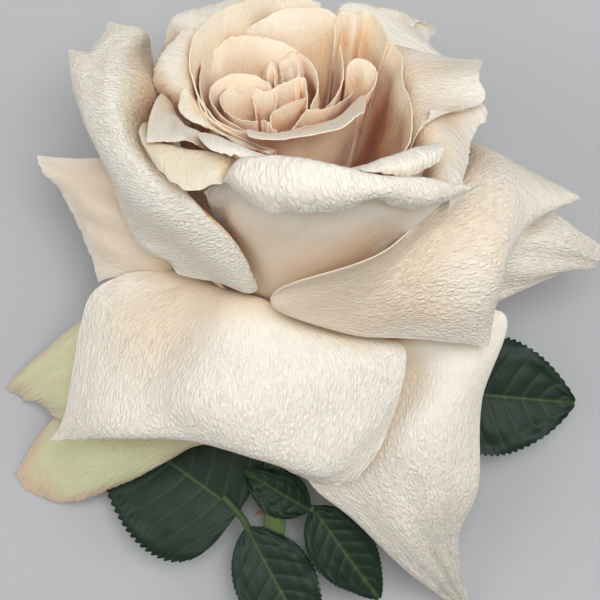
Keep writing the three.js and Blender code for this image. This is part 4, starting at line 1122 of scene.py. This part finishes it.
HEART_PETALS: dict[str, RimSpec] = {
    "back_left": rolled(6.3, 7.2, [Along(209, 112, 46.8), Along(199, 91, 48.5), Along(193, 62, 51.5),
        Along(199, 32, 55), Along(218, 12, 57), Along(245, 2, 58), Along(280, -6, 58), Along(320, 4, 57)]),
    "back": rolled(6.0, 7.2, [Along(229, 39, 49.5), Along(262, 20, 54.8), Along(282, 10, 57),
        Along(302, 8, 57), Along(322, 8, 56.5), Along(334, 14, 55), Along(339, 24, 54)]),
    "top_right": rolled(6.2, 7.2, [Along(337, 28, 54), Along(345, 10, 56), Along(356, 14, 56),
        Along(366, 11, 55.5), Along(377, 22, 55), Along(385, 41, 54)]),
    "right": rolled(6.2, 7.2, [Along(384, 40, 53.5), Along(397, 52, 53), Along(400, 70, 52),
        Along(402, 84, 51), Along(408, 99, 50), Along(410, 122, 48), Along(408, 140, 46),
        Along(399, 155, 44)]),
    "left_back2": rolled(5.6, 7.4, [Along(219, 48, 50), Along(225, 40, 51.5), Along(240, 36, 52.5),
        Along(260, 37, 53), Along(280, 42, 52.5), Along(296, 51, 51.5)]),
    "left2": rolled(5.8, 7.4, [Along(220, 49, 50), Along(208, 54, 49.5), Along(202, 70, 48.5),
        Along(202, 90, 47.5), Along(209, 107, 47), Along(222, 121, 46.5), Along(236, 128, 46.5),
        Along(250, 131, 46.5)]),
    "left_rim1": rolled(6.3, 7.2, [Along(184, 89, 47.3), Along(189, 99, 46.4), Along(196, 110, 45.6),
        Along(206, 122, 45.6), Along(221, 132, 45.8), Along(241, 141.5, 46), Along(258, 149, 46.4),
        Along(273, 153.5, 46.6)], lip=[Along(179, 98, 45.5), Along(177, 107, 44.8), Along(184, 117, 44.6),
        Along(200, 126, 44.8), Along(216, 134, 45), Along(236, 144, 45.6), Along(257, 151, 46.2),
        Along(273, 154, 46.3)], roll=0.6),
    "left_rim2": rolled(6.1, 7.2, [Along(200, 98, 47), Along(206, 111, 46.4), Along(216, 121.5, 46),
        Along(230, 129.5, 45.7), Along(246, 137, 45.7), Along(262, 144, 45.8), Along(277, 149, 45.8)]),
    "left3": rolled(5.0, 8, [Along(270, 84, 47), Along(258, 77, 49), Along(243, 74, 49),
        Along(228, 76, 48.5), Along(215, 84, 47.5), Along(211, 94, 47), Along(217, 107, 46.5),
        Along(229, 119, 46), Along(241, 126, 45.5), Along(250, 131, 45.5)]),
    "left4": rolled(4.2, 8, [Along(272, 98, 45), Along(258, 89, 47), Along(240, 86, 46.5),
        Along(226, 92, 46), Along(222, 100, 45.5), Along(228, 111, 45), Along(240, 117, 44.5),
        Along(258, 120, 44)]),
    "front3": rolled(5.8, 7, [Along(248, 131, 46.5), Along(265, 134, 47), Along(282, 134, 47.5),
        Along(300, 131, 48), Along(320, 127, 48), Along(338, 119, 48), Along(350, 108, 47.5),
        Along(361, 97, 47)], lip=[Over(250, 134, 43.5), Over(267, 138, 44.5), Over(283, 138, 45),
        Over(301, 135, 45.5), Over(322, 131, 45.5), Over(342, 125, 45), Over(355, 114, 44),
        Over(363, 110, 43)], roll=0.8),
    "front2": rolled(5.0, 8, [Along(276, 132, 45.5), Along(290, 129, 46), Along(306, 125, 46.5),
        Along(325, 120, 46.5), Along(345, 116, 46)]),
    "front1": rolled(4.6, 8, [Along(290, 128, 45), Along(297, 120, 46), Along(306, 110, 47.5),
        Along(325, 107, 47.5), Along(342, 99, 47), Along(352, 90, 46)]),
    "right_curl": rolled(5.4, 7, [Along(348, 68, 49), Along(354, 60, 50.5), Along(363, 59, 51),
        Along(371, 65, 50.5), Along(374, 78, 49), Along(370, 90, 47.5), Along(361, 97, 46)]),
    "right_edge": rolled(4.8, 8, [Along(339, 45, 51), Along(343, 60, 50.5), Along(342, 80, 49),
        Along(336, 95, 47), Along(326, 107, 44)]),
    "core_wrap": rolled(3.6, 9, [Along(288, 55, 50), Along(299, 52, 51), Along(310, 58, 51),
        Along(318, 70, 50), Along(320, 86, 48.5), Along(314, 107, 46)]),
    "core_bud": rolled(2.4, 10, [Along(280, 78, 47), Along(280, 64, 49), Along(284, 58, 50.5),
        Along(292, 56, 51), Along(300, 62, 50.5), Along(303, 72, 49), Along(296, 80, 48)]),
    "core_bit": rolled(2.2, 10, [Along(267, 88, 46.5), Along(264, 76, 48), Along(267, 67, 49.5),
        Along(273, 65, 50), Along(277, 71, 49), Along(278, 82, 47)]),
    "core_mid": rolled(2.8, 9, [Along(269, 91, 46.5), Along(279, 85, 47.5), Along(292, 80, 48),
        Along(304, 77, 48), Along(306, 90, 47), Along(305, 108, 45.5)]),
    "core_left": rolled(3.2, 9, [Along(258, 118, 43), Along(255, 102, 44.5), Along(253, 94, 46),
        Along(262, 92, 46.5), Along(272, 91, 46.5), Along(276, 97, 46)]),
    "core_low": rolled(3.8, 9, [Along(272, 130, 43.5), Along(272, 117, 45), Along(280, 108, 46),
        Along(293, 102, 46.5), Along(306, 98, 46)]),
    "core_tip": rolled(4.2, 9, [Along(262, 120, 45), Along(266, 120, 45.5), Along(271, 125, 45),
        Along(277, 131, 44)]),
}


# ---- Round bodies


def join(name: str, pieces: list[bpy.types.Object]) -> bpy.types.Object:
    """Makes one object of several.

    Args:
        name: the name of the result.
        pieces: the objects, which are used up.

    Returns:
        The joined object.
    """
    bpy.ops.object.select_all(action="DESELECT")
    for piece in pieces:
        piece.select_set(True)
    bpy.context.view_layer.objects.active = pieces[0]
    bpy.ops.object.join()
    whole = bpy.context.object
    whole.name = name
    whole.data.name = name
    return whole


def wrap(name: str, rings: np.ndarray, masks: dict[str, float] | None = None) -> bpy.types.Object:
    """Models a closed round body through rings of points.

    Args:
        name: the object's name.
        rings: millimetre points, shape (rings, sides, 3).
        masks: strengths that are the same all over it.

    Returns:
        The finished object, at the origin.
    """
    count, sides = rings.shape[:2]
    bpy.ops.mesh.primitive_grid_add(x_subdivisions=sides, y_subdivisions=count - 1, size=1.0)
    body = named(name)
    mesh = body.data
    start = coordinates(mesh)
    column = np.rint((start[:, 0] + 0.5) * sides).astype(int) % sides
    row = np.rint((start[:, 1] + 0.5) * (count - 1)).astype(int)
    move_to(mesh, rings[row, column])
    mesh.uv_layers.active.name = "vein_map"
    bpy.ops.object.mode_set(mode="EDIT")
    bpy.ops.mesh.select_all(action="SELECT")
    bpy.ops.mesh.remove_doubles(threshold=1e-7)
    bpy.ops.mesh.fill_holes(sides=0)
    bpy.ops.mesh.select_all(action="SELECT")
    bpy.ops.mesh.normals_make_consistent(inside=False)
    bpy.ops.object.mode_set(mode="OBJECT")
    for label, value in (masks or {}).items():
        lay_mask(mesh, label, value)
    bpy.ops.object.shade_smooth_by_angle(angle=math.radians(60))
    return body


def turned(name: str, profile: list[list[float]], sides: int, steps: int,
           masks: dict[str, float] | None = None) -> bpy.types.Object:
    """Models a body of revolution about the bloom's axis.

    Args:
        name: the object's name.
        profile: radius and height pairs, from one end to the other.
        sides: how many sides it has.
        steps: how many rings it is drawn with.
        masks: strengths that are the same all over it.

    Returns:
        The finished object.
    """
    points = np.array([[0.0, max(r, 0.05), h] for r, h in profile])
    drawn = spline(points, chord_knots(points), np.linspace(0, 1, steps))
    turn = np.arange(sides) * 360 / sides
    rings = np.array([[[a, max(r, 0.05), h] for a in turn] for _, r, h in drawn])
    return wrap(name, BLOOM.point(rings), masks)


def swept(name: str, path: np.ndarray, radii: np.ndarray, sides: int,
          masks: dict[str, float] | None = None) -> bpy.types.Object:
    """Models a round tube along points.

    Args:
        name: the object's name.
        path: millimetre points.
        radii: the radius at each point.
        sides: how many sides it has.
        masks: strengths that are the same all over it.

    Returns:
        The finished object.
    """
    along = np.gradient(path, axis=0)
    along /= np.linalg.norm(along, axis=1, keepdims=True)
    level = np.cross(along, [0.0, 0.0, 1.0])
    level /= np.linalg.norm(level, axis=1, keepdims=True)
    up = np.cross(level, along)
    a = np.arange(sides) * 2 * math.pi / sides
    out = np.cos(a)[None, :, None] * level[:, None] + np.sin(a)[None, :, None] * up[:, None]
    return wrap(name, path[:, None] + out * radii[:, None, None], masks)


# ---- Sub-assemblies


def finish_piece(piece: bpy.types.Object, material: bpy.types.Material, slot: Slot, *nodes: str) -> None:
    """Dresses a piece and hands it over in place of its nodes.

    Args:
        piece: the finished object.
        material: what it is made of.
        slot: the record's slot; not used.
        nodes: the nodes that it replaces.
    """
    piece.data.materials.clear()
    piece.data.materials.append(material)
    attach(piece, "root")
    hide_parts(*nodes)
    log.info("%s: %d faces", piece.name, len(piece.data.polygons))


@dataclass
class Bloom:
    """The open flower: outer petals, cup petals and the spiral heart."""

    outer_thickness: float = 0.48
    cup_thickness: float = 0.4
    heart_thickness: float = 0.34
    outer_fineness: tuple[int, int] = (96, 84)
    cup_fineness: tuple[int, int] = (84, 76)
    heart_fineness: tuple[int, int] = (42, 38)
    heart_rim_share: float = 0.75
    heart_follow: float = 0.92
    bud_tips: tuple[tuple[Point, float, tuple[float, float, float]], ...] = (
        (Along(292, 70, 47.2), 0.6, (2.8, 2.5, 4.8)),
        (Along(270.5, 78, 46.2), 0.8, (1.7, 1.8, 4.6)),
    )
    core: list[list[float]] = field(default_factory=lambda: [
        [0, 7.1], [5.7, 7.1], [6.6, 12], [7.6, 20], [7.4, 28], [6, 34], [3.6, 38], [0, 40]])
    pieces: dict[str, tuple[bpy.types.Object, Slot]] = field(default_factory=dict)

    def build(self) -> None:
        """Models every petal and joins the heart."""
        petals = self._outer_petals() + self._cup_petals()
        heart = self._heart_petals()
        # Painted shade: how far the petals cover each other, baked into their colour.
        painted_shade = ShadePainter([petal.lay() for petal in petals + heart])
        for petal in petals:
            self.pieces[petal.name.replace("fine_", "petal_")] = (petal.build(painted_shade), petal.slot)
        # The core is coloured as if fully in shade: painted shade.
        core = turned("heart_core", self.core, 40, 30, {"blush": 1.0, "painted_shade": 1.0})
        whole = join("fine_heart", [core] + self._bud_tips() + [petal.build(painted_shade) for petal in heart])
        self.pieces["heart"] = (whole, Slot.HEART)

    def _outer_petals(self) -> list[Petal]:
        """Lists the outer petals."""
        petals = []
        for name, rows in OUTER_PETALS.items():
            relief, tints, slot = OUTER_LOOKS[name]
            placed = [BLOOM.table_point(offsets(row)) for row in rows]
            petals.append(Petal(f"fine_{name}", placed, relief, tints, slot, self.outer_fineness,
                                self.outer_thickness))
        return petals

    def _cup_petals(self) -> list[Petal]:
        """Lists the petals that make the cup."""
        petals = []
        for name, spec in CUP_PETALS.items():
            relief, tints = CUP_LOOKS[name]
            petals.append(Petal(f"fine_{name}", cup_rows(spec), relief, tints, Slot.PETAL,
                                self.cup_fineness, self.cup_thickness, outward=True))
        return petals

    def _heart_petals(self) -> list[Petal]:
        """Lists the small petals of the spiral."""
        petals = []
        for k, (name, spec) in enumerate(HEART_PETALS.items()):
            relief = Relief(300 + 10 * k, swell=0.15, wrinkle=0.0, scallop=0.2, crinkle=0.05,
                            curl=HEART_CURLS.get(name, 0.45))
            tints = HEART_LIT_WALL_TINT if name in HEART_LIT_WALL else HEART_TINT
            if name in HEART_RING:
                tints = HEART_RING_TINT
            petals.append(Petal(f"heart_{name}", cup_rows(spec, self.heart_follow), relief, tints, Slot.HEART,
                                self.heart_fineness, self.heart_thickness, outward=True,
                                rim_share=self.heart_rim_share))
        return petals

    def _bud_tips(self) -> list[bpy.types.Object]:
        """Models the closed tips of the innermost petals, still folded over each other."""
        tips = []
        for k, (point, sink, radii) in enumerate(self.bud_tips):
            bpy.ops.mesh.primitive_uv_sphere_add(segments=36, ring_count=24, radius=1.0)
            tip = named(f"heart_tip_{k}")
            ball = coordinates(tip.data)
            pinch = 1 - 0.3 * np.clip(ball[:, 2], 0, 1) ** 2
            local = ball * np.array(radii) * np.stack([pinch, pinch, 1 + 0 * pinch], axis=1)
            centre = BLOOM.table_point(point.place() - sink * BLOOM.axis)
            laid = centre + local @ np.stack([BLOOM.right, BLOOM.front, BLOOM.axis])
            move_to(tip.data, laid)
            tip.data.uv_layers.active.name = "vein_map"
            # A fixed blushing tint and a fixed share of painted shade.
            for label, value in (("blush", 0.7), ("painted_shade", 0.45)):
                lay_mask(tip.data, label, value)
            bpy.ops.object.shade_smooth()
            tips.append(tip)
        return tips

    def dress(self, finishes: dict[Slot, bpy.types.Material]) -> None:
        """Gives every petal its finish.

        Args:
            finishes: the material for each slot.
        """
        for node, (piece, slot) in self.pieces.items():
            finish_piece(piece, finishes[slot], slot, node)


@dataclass(frozen=True)
class Leaflet:
    """One leaflet, from its base to its tip, as offsets from the bloom's base."""

    start: tuple[float, float, float]
    tip: tuple[float, float, float]
    width: float
    sag: float = 1.5
    fold: float = 0.16
    teeth: int = 24
    side_veins: int = 8
    waist: float = 0.8
    taper: float = 0.75
    fineness: tuple[int, int] = (72, 120)

    def build(self, name: str) -> bpy.types.Object:
        """Models the leaflet with its toothed edge and sunken veins.

        Args:
            name: the object's name.

        Returns:
            The finished blade.
        """
        a, b = BLOOM.table_point(self.start), BLOOM.table_point(self.tip)
        along = b - a
        side = np.cross([0.0, 0.0, 1.0], along)
        side /= np.linalg.norm(side)
        length = float(np.linalg.norm(along))
        u, v = np.meshgrid(np.linspace(1, -1, self.fineness[0] + 1), np.linspace(0, 1, self.fineness[1] + 1))
        body = np.maximum(np.sin(math.pi * v**self.waist), 0) ** self.taper
        phase = (v * self.teeth) % 1.0
        tooth = np.where(phase < 0.72, phase / 0.72, (1 - phase) / 0.28)
        edge = np.abs(u) ** 6
        half = np.maximum(self.width / 2 * body, 0.45)
        reach = half * (1 - 0.05 * (1 - tooth) * edge)
        ahead = 0.008 * u**2 * tooth * length
        place = v - 0.2 * np.abs(u) ** 1.25
        wave = place * self.side_veins
        from_vein = np.abs(wave - np.rint(wave)) / self.side_veins * length * 0.85
        vein = np.exp(-((from_vein / 0.28) ** 2)) * smooth(np.abs(u), 0.95, 0.55)
        midrib = np.exp(-((np.abs(u) * half / 0.5) ** 2))
        puff = np.sin(math.pi * (wave % 1.0)) ** 2 * np.sin(math.pi * np.clip(np.abs(u), 0, 1)) * 0.14
        height = self.sag * np.sin(math.pi * v) + self.fold * np.abs(u) * half - 0.006 * (half * u) ** 2
        seed = int(abs(self.tip[0]) * 7 + abs(self.tip[1]))
        height += puff - 0.12 * vein - 0.28 * midrib
        height += 0.5 * ripple(u, v, 2.5, seed) * np.abs(u) ** 2
        grid = (a + v[..., None] * along + (u * reach)[..., None] * side
                + (ahead / length)[..., None] * along + height[..., None] * np.array([0.0, 0.0, 1.0]))
        strength = np.clip(0.3 * vein * (1 - 0.6 * np.abs(u)) + 0.8 * midrib, 0, 1)
        return Sheet(name, grid, 0.45, rim_share=0.5, masks={"vein": strength}).build()


@dataclass
class Leaf:
    """A compound leaf: stalks and leaflets grown together."""

    name: str
    stalks: list[list[list[float]]]
    leaflets: list[Leaflet]
    stalk_radius: float = 0.85
    piece: bpy.types.Object | None = None

    def build(self) -> None:
        """Models the stalks and leaflets as one piece."""
        parts = []
        for k, stalk in enumerate(self.stalks):
            points = BLOOM.table_point(np.array(stalk))
            path = spline(points, chord_knots(points), np.linspace(0, 1, 40))
            parts.append(swept(f"{self.name}_stalk_{k}", path, np.full(40, self.stalk_radius), 16,
                               {"vein": 0.85}))
        for k, leaflet in enumerate(self.leaflets):
            parts.append(leaflet.build(f"{self.name}_leaflet_{k}"))
        self.piece = join(f"fine_{self.name}", parts)

    def dress(self, material: bpy.types.Material) -> None:
        """Gives the leaf its finish."""
        finish_piece(self.piece, material, Slot.LEAF, self.name)


@dataclass
class Stem:
    """The cut stem with its hip, sepals and prickles."""

    radius: float = 2.6
    neck_radius: float = 3.1
    neck_height: float = -15.0
    run: float = 74.0
    hip: list[list[float]] = field(default_factory=lambda: [
        [0, -17.5], [2.9, -17], [5.2, -14.5], [7.4, -10.5], [9.4, -6.8], [11.9, -4.2], [12.7, -2.9],
        [7.3, 6], [6.6, 6.5], [0, 6.6]])
    prickles: list[tuple[float, float]] = field(default_factory=lambda: [
        (2.4, 150), (4.4, 35), (7.4, 120), (8.4, 60), (9.4, 145), (9.75, 80)])
    sepal_azimuths: tuple[float, ...] = (22, 94, 166, 238, 310)
    sepal_rows: list[list[float]] = field(default_factory=lambda: [
        [3.4, 6.2, -8], [3.2, 8.9, -12], [2.8, 8.6, -17], [1.9, 7.6, -22], [0.5, 6.8, -27]])
    piece: bpy.types.Object | None = None

    def path(self) -> np.ndarray:
        """Traces the centre line: out of the hip, round to level, then flat along the table."""
        level = np.array([-BLOOM.axis[0], -BLOOM.axis[1], 0.0])
        level /= np.linalg.norm(level)
        start = BLOOM.point(np.array([0.0, 0.0, self.neck_height]))
        dip = math.asin(BLOOM.axis[2])
        bend = (start[2] - self.radius) / (1 - math.cos(dip))
        points = []
        for share in (0, 0.15, 0.3, 0.45, 0.6, 0.75, 0.9, 1):
            left = dip * (1 - share)
            run = bend * (math.sin(dip) - math.sin(left))
            foot = np.array([start[0], start[1], self.radius + bend * (1 - math.cos(left))])
            points.append(foot + level * run)
        for share in (0.33, 0.66, 1):
            points.append(points[7] + level * self.run * share)
        return np.array(points)

    def _prickle(self, name: str, path: np.ndarray, place: float, side: float) -> bpy.types.Object:
        """Models one hooked prickle.

        Args:
            name: the object's name.
            path: the stem's centre line.
            place: where it stands between the path's points.
            side: degrees round the stem, 90 up.

        Returns:
            The finished prickle.
        """
        before, after = path[math.floor(place)], path[math.ceil(place)]
        at = before + (after - before) * (place % 1)
        along = (after - before) / np.linalg.norm(after - before)
        level = np.cross(along, [0, 0, 1.0])
        level /= np.linalg.norm(level)
        up = np.cross(level, along)
        out = level * math.cos(math.radians(side)) + up * math.sin(math.radians(side))
        across = np.cross(along, out)
        rise = np.linspace(0, 1, 14)
        turn = np.arange(16) * 2 * math.pi / 16
        rings = []
        for t in rise:
            slim = (1 - t) ** 1.35 + 0.03
            centre = at + out * (self.radius - 1.2 + 4.7 * t) + along * 1.3 * t**1.6
            rings.append([centre + slim * (along * 1.9 * math.cos(a) + across * 0.95 * math.sin(a))
                          for a in turn])
        return wrap(name, np.array(rings), {"flush": 0.75})

    def _receptacle(self) -> bpy.types.Object:
        """Models the hip, green outside and golden where the petals stand."""
        hip = turned("hip", self.hip, 48, 60, {"flush": 0.0, "golden": 0.0})
        height = (coordinates(hip.data) / MM - np.array(BLOOM.base)) @ BLOOM.axis
        golden = smooth(height, -3.4, -2.6).astype(np.float32)
        hip.data.attributes["golden"].data.foreach_set("value", golden)
        return hip

    def build(self) -> None:
        """Models the stem and all that grows from it, as one piece."""
        path = self.path()
        fine = spline(path, chord_knots(path), np.linspace(0, 1, 160))
        share = np.linspace(0, 1, 160)
        radii = self.radius + (self.neck_radius - self.radius) * smooth(share, 0.12, 0.0)
        parts = [self._receptacle(), swept("stem_run", fine, radii, 32, {"flush": 0.0})]
        for k, (place, side) in enumerate(self.prickles):
            parts.append(self._prickle(f"prickle_{k}", path, place, side))
        for k, azimuth in enumerate(self.sepal_azimuths):
            rows = []
            for half, radius, height in self.sepal_rows:
                spread = math.degrees(half / radius)
                row = [[azimuth - side * spread, radius, height] for side in (-1, 0, 1)]
                rows.append(BLOOM.point(np.array(row)))
            grid = surface(rows, np.linspace(0, 1, 13), np.linspace(0, 1, 41))
            flush = np.full(grid.shape[:2], 0.1)
            parts.append(Sheet(f"sepal_{k}", grid, 0.7, masks={"flush": flush}).build())
        self.piece = join("fine_stem", parts)

    def dress(self, material: bpy.types.Material) -> None:
        """Gives the stem its finish."""
        finish_piece(self.piece, material, Slot.STEM, "stem")


@dataclass(frozen=True)
class Studio:
    """Pale table, soft light from above and from both sides, and a camera that looks straight down."""

    eye: tuple[float, float, float] = (0.5, 39.0, 332.1)
    lens: float = 83.72
    sensor: float = 36.0
    key_place: tuple[float, float, float] = (80.0, 130.0, 590.0)
    key_size: float = 300.0
    key_watts: float = 2.05
    side_place: tuple[float, float, float] = (440.0, 60.0, 330.0)
    side_size: float = 300.0
    side_watts: float = 0.6
    fill_place: tuple[float, float, float] = (-400.0, 20.0, 400.0)
    fill_size: float = 420.0
    fill_watts: float = 1.0
    light_tone: Colour = (0.97, 0.985, 1.0)
    sky: Colour = (0.68, 0.64, 0.57)
    sky_strength: float = 0.35
    table_size: float = 3.0
    target: tuple[float, float, float] = (0.0, 40.0, 35.0)

    def build(self) -> None:
        """Sets the table, lights, sky and camera."""
        bpy.ops.mesh.primitive_plane_add(size=self.table_size, location=(0, 0, 0))
        floor = named("table")
        floor.data.materials.append(FloorFinish().make())
        self._light("key_light", self.key_place, self.key_size, self.key_watts)
        self._light("side_light", self.side_place, self.side_size, self.side_watts)
        self._light("fill_light", self.fill_place, self.fill_size, self.fill_watts)
        world = bpy.data.worlds.new("studio_sky")
        bpy.context.scene.world = world
        world.use_nodes = True
        backdrop = world.node_tree.nodes["Background"]
        backdrop.inputs["Color"].default_value = (*self.sky, 1.0)
        backdrop.inputs["Strength"].default_value = self.sky_strength
        bpy.ops.object.camera_add(location=tuple(c * MM for c in self.eye), rotation=(0, 0, 0))
        camera = bpy.context.object
        camera.name = "camera"
        camera.data.sensor_width = self.sensor
        camera.data.lens = self.lens
        camera.data.clip_start = 0.01
        bpy.context.scene.camera = camera
        bpy.context.scene.view_settings.view_transform = "Standard"

    def _light(self, name: str, place: tuple[float, float, float], size: float, watts: float) -> None:
        """Adds a soft square light that faces the bloom."""
        bpy.ops.object.light_add(type="AREA", location=tuple(c * MM for c in place))
        light = bpy.context.object
        light.name = name
        light.data.size = size * MM
        light.data.energy = watts
        light.data.color = self.light_tone
        away = Vector(place) - Vector(self.target)
        light.rotation_euler = away.to_track_quat("Z", "Y").to_euler()


# Fine relief and tints of each petal
OUTER_LOOKS: dict[str, tuple[Relief, Tints, Slot]] = {
    "front_low": (
        Relief(seed=11, swell=0.45, scallop=0.8, notches=((0.86, 0.02, 0.9), (0.93, 0.02, 1.4)), folds=(
            (0.0, 0.33, 0.05, 0.42, 1.2, 0.5), (0.13, 0.34, 0.15, 0.28, 1.0, -0.45),
            (0.86, 0.46, 0.985, 0.61, 0.8, 0.55), (0.84, 0.43, 0.95, 0.5, 0.8, -0.4))),
        # front_low: painted shade in its valley and below the throat, as extra blushing tint.
        Tints(blush=0.35, blush_and_shade_to=0.5, edge=0.6, shade_patches=(
            (0.22, 0.42, 0.2, 0.22, 1.0), (0.42, 0.27, 0.2, 0.08, 0.7))), Slot.PETAL),
    "front_right": (
        Relief(seed=21, swell=0.4),
        # front_right: painted shade towards the throat, as extra blushing tint.
        Tints(blush=0.8, blush_and_shade_to=0.95, edge=0.8, shade_patches=((0.55, 0.5, 0.4, 0.22, 0.5),)), Slot.PETAL),
    "right_back": (Relief(seed=31), Tints(edge=0.8), Slot.PETAL),
    "left_long": (Relief(seed=41, wrinkle=0.03), Tints(blush=0.3, blush_and_shade_to=0.6, edge=0.7), Slot.PETAL),
    # left_back's strong tint is painted shade, where it lies under left_long.
    "left_back": (Relief(seed=51, wrinkle=0.02), Tints(blush=0.95, blush_and_shade_to=1.3, crepe=0.4), Slot.PETAL),
    "left_guard": (Relief(seed=61), Tints(green=0.55, green_from=0.3, crepe=0.5), Slot.GUARD),
    "low_guard": (Relief(seed=71), Tints(green=0.6, green_from=0.2, edge=0.8, crepe=0.5), Slot.GUARD),
    "right_low": (Relief(seed=81, swell=0.5), Tints(blush=0.2, edge=0.8), Slot.PETAL),
    "back_left": (Relief(seed=91), Tints(), Slot.PETAL),
    "back_mid": (Relief(seed=101), Tints(), Slot.PETAL),
    "back_right": (Relief(seed=111), Tints(), Slot.PETAL),
}
# Cup petals take a strong tint far into the cup, their own warmer colour and painted shade together;
# cup_front has extra painted shade on its lower wall and sides.
CUP_LOOKS: dict[str, tuple[Relief, Tints]] = {
    "cup_front": (Relief(seed=121), Tints(blush=0.85, blush_and_shade_to=0.85, edge=0.9, crepe_from=0.5, shade_patches=(
        (0.5, 0.3, 0.4, 0.2, 0.6), (0.92, 0.55, 0.14, 0.3, 0.8), (0.04, 0.5, 0.12, 0.3, 0.7)))),
    "cup_front_left": (Relief(seed=131, swell=0.15, crinkle=0.03),
                       Tints(blush=0.75, blush_and_shade_to=1.3, green=0.2, green_from=0.5, edge=0.05, crepe=0.4)),
    "cup_left_wall": (Relief(seed=141, swell=0.1, wrinkle=0.015, scallop=0.25, crinkle=0.04),
                      Tints(blush=0.8, blush_and_shade_to=1.15, edge=0.2, crepe=0.4)),
    "cup_front_inner": (Relief(seed=151, swell=0.15, wrinkle=0.02, crinkle=0.05),
                        Tints(blush=0.8, blush_and_shade_to=0.9, edge=0.4, crepe=0.4)),
    "cup_right_inner": (Relief(seed=161), Tints(blush=0.8, blush_and_shade_to=0.85, edge=0.6, crepe=0.6)),
    "cup_left_upper": (Relief(seed=171), Tints(blush=0.8, blush_and_shade_to=1.0, edge=0.4, crepe=0.4)),
    "cup_back_left": (Relief(seed=181), Tints(blush=0.8, blush_and_shade_to=1.0, edge=0.5, crepe=0.5)),
    "cup_right_upper": (Relief(seed=191), Tints(blush=0.9, blush_and_shade_to=1.15, edge=0.6, crepe=0.6)),
    "cup_right_low": (Relief(seed=201), Tints(blush=0.9, blush_and_shade_to=1.2, edge=0.6, crepe=0.6)),
    "cup_back_right": (Relief(seed=211), Tints(blush=0.6, blush_and_shade_to=0.9, edge=0.7, crepe=0.6)),
}
# Heart petals take a strong tint, their own peachy colour and painted shade together.
HEART_TINT = Tints(blush=0.9, blush_and_shade_to=1.02, edge=0.5, crepe=0.3)
HEART_RING_TINT = Tints(blush=0.35, blush_and_shade_to=0.8, edge=0.6, crepe=0.4)
HEART_RING = ("back_left", "back", "left_rim1", "left_rim2")
# The heart's right wall takes almost no blushing tint: its paler colour is painted light, for light shining
# through it.
HEART_LIT_WALL_TINT = Tints(blush=0.05, blush_and_shade_to=0.35, edge=0.4, crepe=0.4)
HEART_LIT_WALL = ("top_right", "right")
HEART_CURLS: dict[str, float] = {
    "core_wrap": -0.4, "core_bud": -0.7, "core_bit": -0.7, "core_mid": 0.2, "core_left": 0.3, "core_low": 0.2,
    "core_tip": 0.1, "right_edge": 0.1}

LEAVES: list[Leaf] = [
    Leaf("leaf_left", [[[-6.5, -57.8, -25.6], [-8.4, -56, -23.2], [-10.4, -51.5, -21], [-15, -46, -20.4]]], [
        Leaflet((-11.6, -49.4, -20.6), (-43, -28, -29), 40, waist=0.58, taper=0.5),
        Leaflet((-9.6, -53.4, -21.4), (6, -82, -22.6), 19)]),
    Leaf("leaf_front", [[[-1, -49.2, -24.7], [1.4, -48.8, -21], [3.6, -48.4, -17.6], [6, -48.2, -16.4]]], [
        Leaflet((5.4, -48, -16.8), (21, -70, -23), 15, fineness=(52, 90)),
        Leaflet((4.6, -48.4, -16.2), (-10, -39.5, -15.6), 11, teeth=11, side_veins=6, fineness=(44, 64))]),
    Leaf("leaf_right", [[[0.3, -37.6, -21.2], [6, -35.6, -20.2], [20, -28.4, -21], [36, -21, -22.6]]], [
        Leaflet((33, -21.6, -22.4), (66, -24.6, -22.2), 28, sag=2),
        Leaflet((20, -28.6, -20.4), (36, -56, -24), 18)]),
]

PETAL_FINISHES: dict[Slot, PetalFinish] = {
    Slot.PETAL: PetalFinish("petal_cream"),
    Slot.GUARD: PetalFinish("petal_guard", cream=(0.84, 0.80, 0.63), rim=(0.62, 0.42, 0.33),
                            green=(0.56, 0.60, 0.28)),
    # The heart's painted shade turns dark red-brown in its crevices.
    Slot.HEART: PetalFinish("petal_heart", cream=(0.91, 0.82, 0.67), warm_shade=(0.89, 0.76, 0.56),
                            peach_shade=(0.87, 0.64, 0.42), deep_shade=(0.54, 0.20, 0.09), blush=(0.87, 0.65, 0.48),
                            rim=(0.93, 0.88, 0.77), shade_stops=(0.25, 0.52, 0.76, 0.93)),
}


def main() -> None:
    """Builds and dresses the rose, then sets the studio round it."""
    logging.basicConfig(level=logging.INFO, format="%(name)s: %(message)s")
    veins = vein_group()
    finishes = {slot: finish.make(veins) for slot, finish in PETAL_FINISHES.items()}
    bloom = Bloom()
    bloom.build()
    bloom.dress(finishes)
    stem = Stem()
    stem.build()
    stem.dress(StemFinish().make())
    leaf_material = LeafFinish().make()
    for leaf in LEAVES:
        leaf.build()
        leaf.dress(leaf_material)
    Studio().build()


if __name__ == "__main__":
    main()
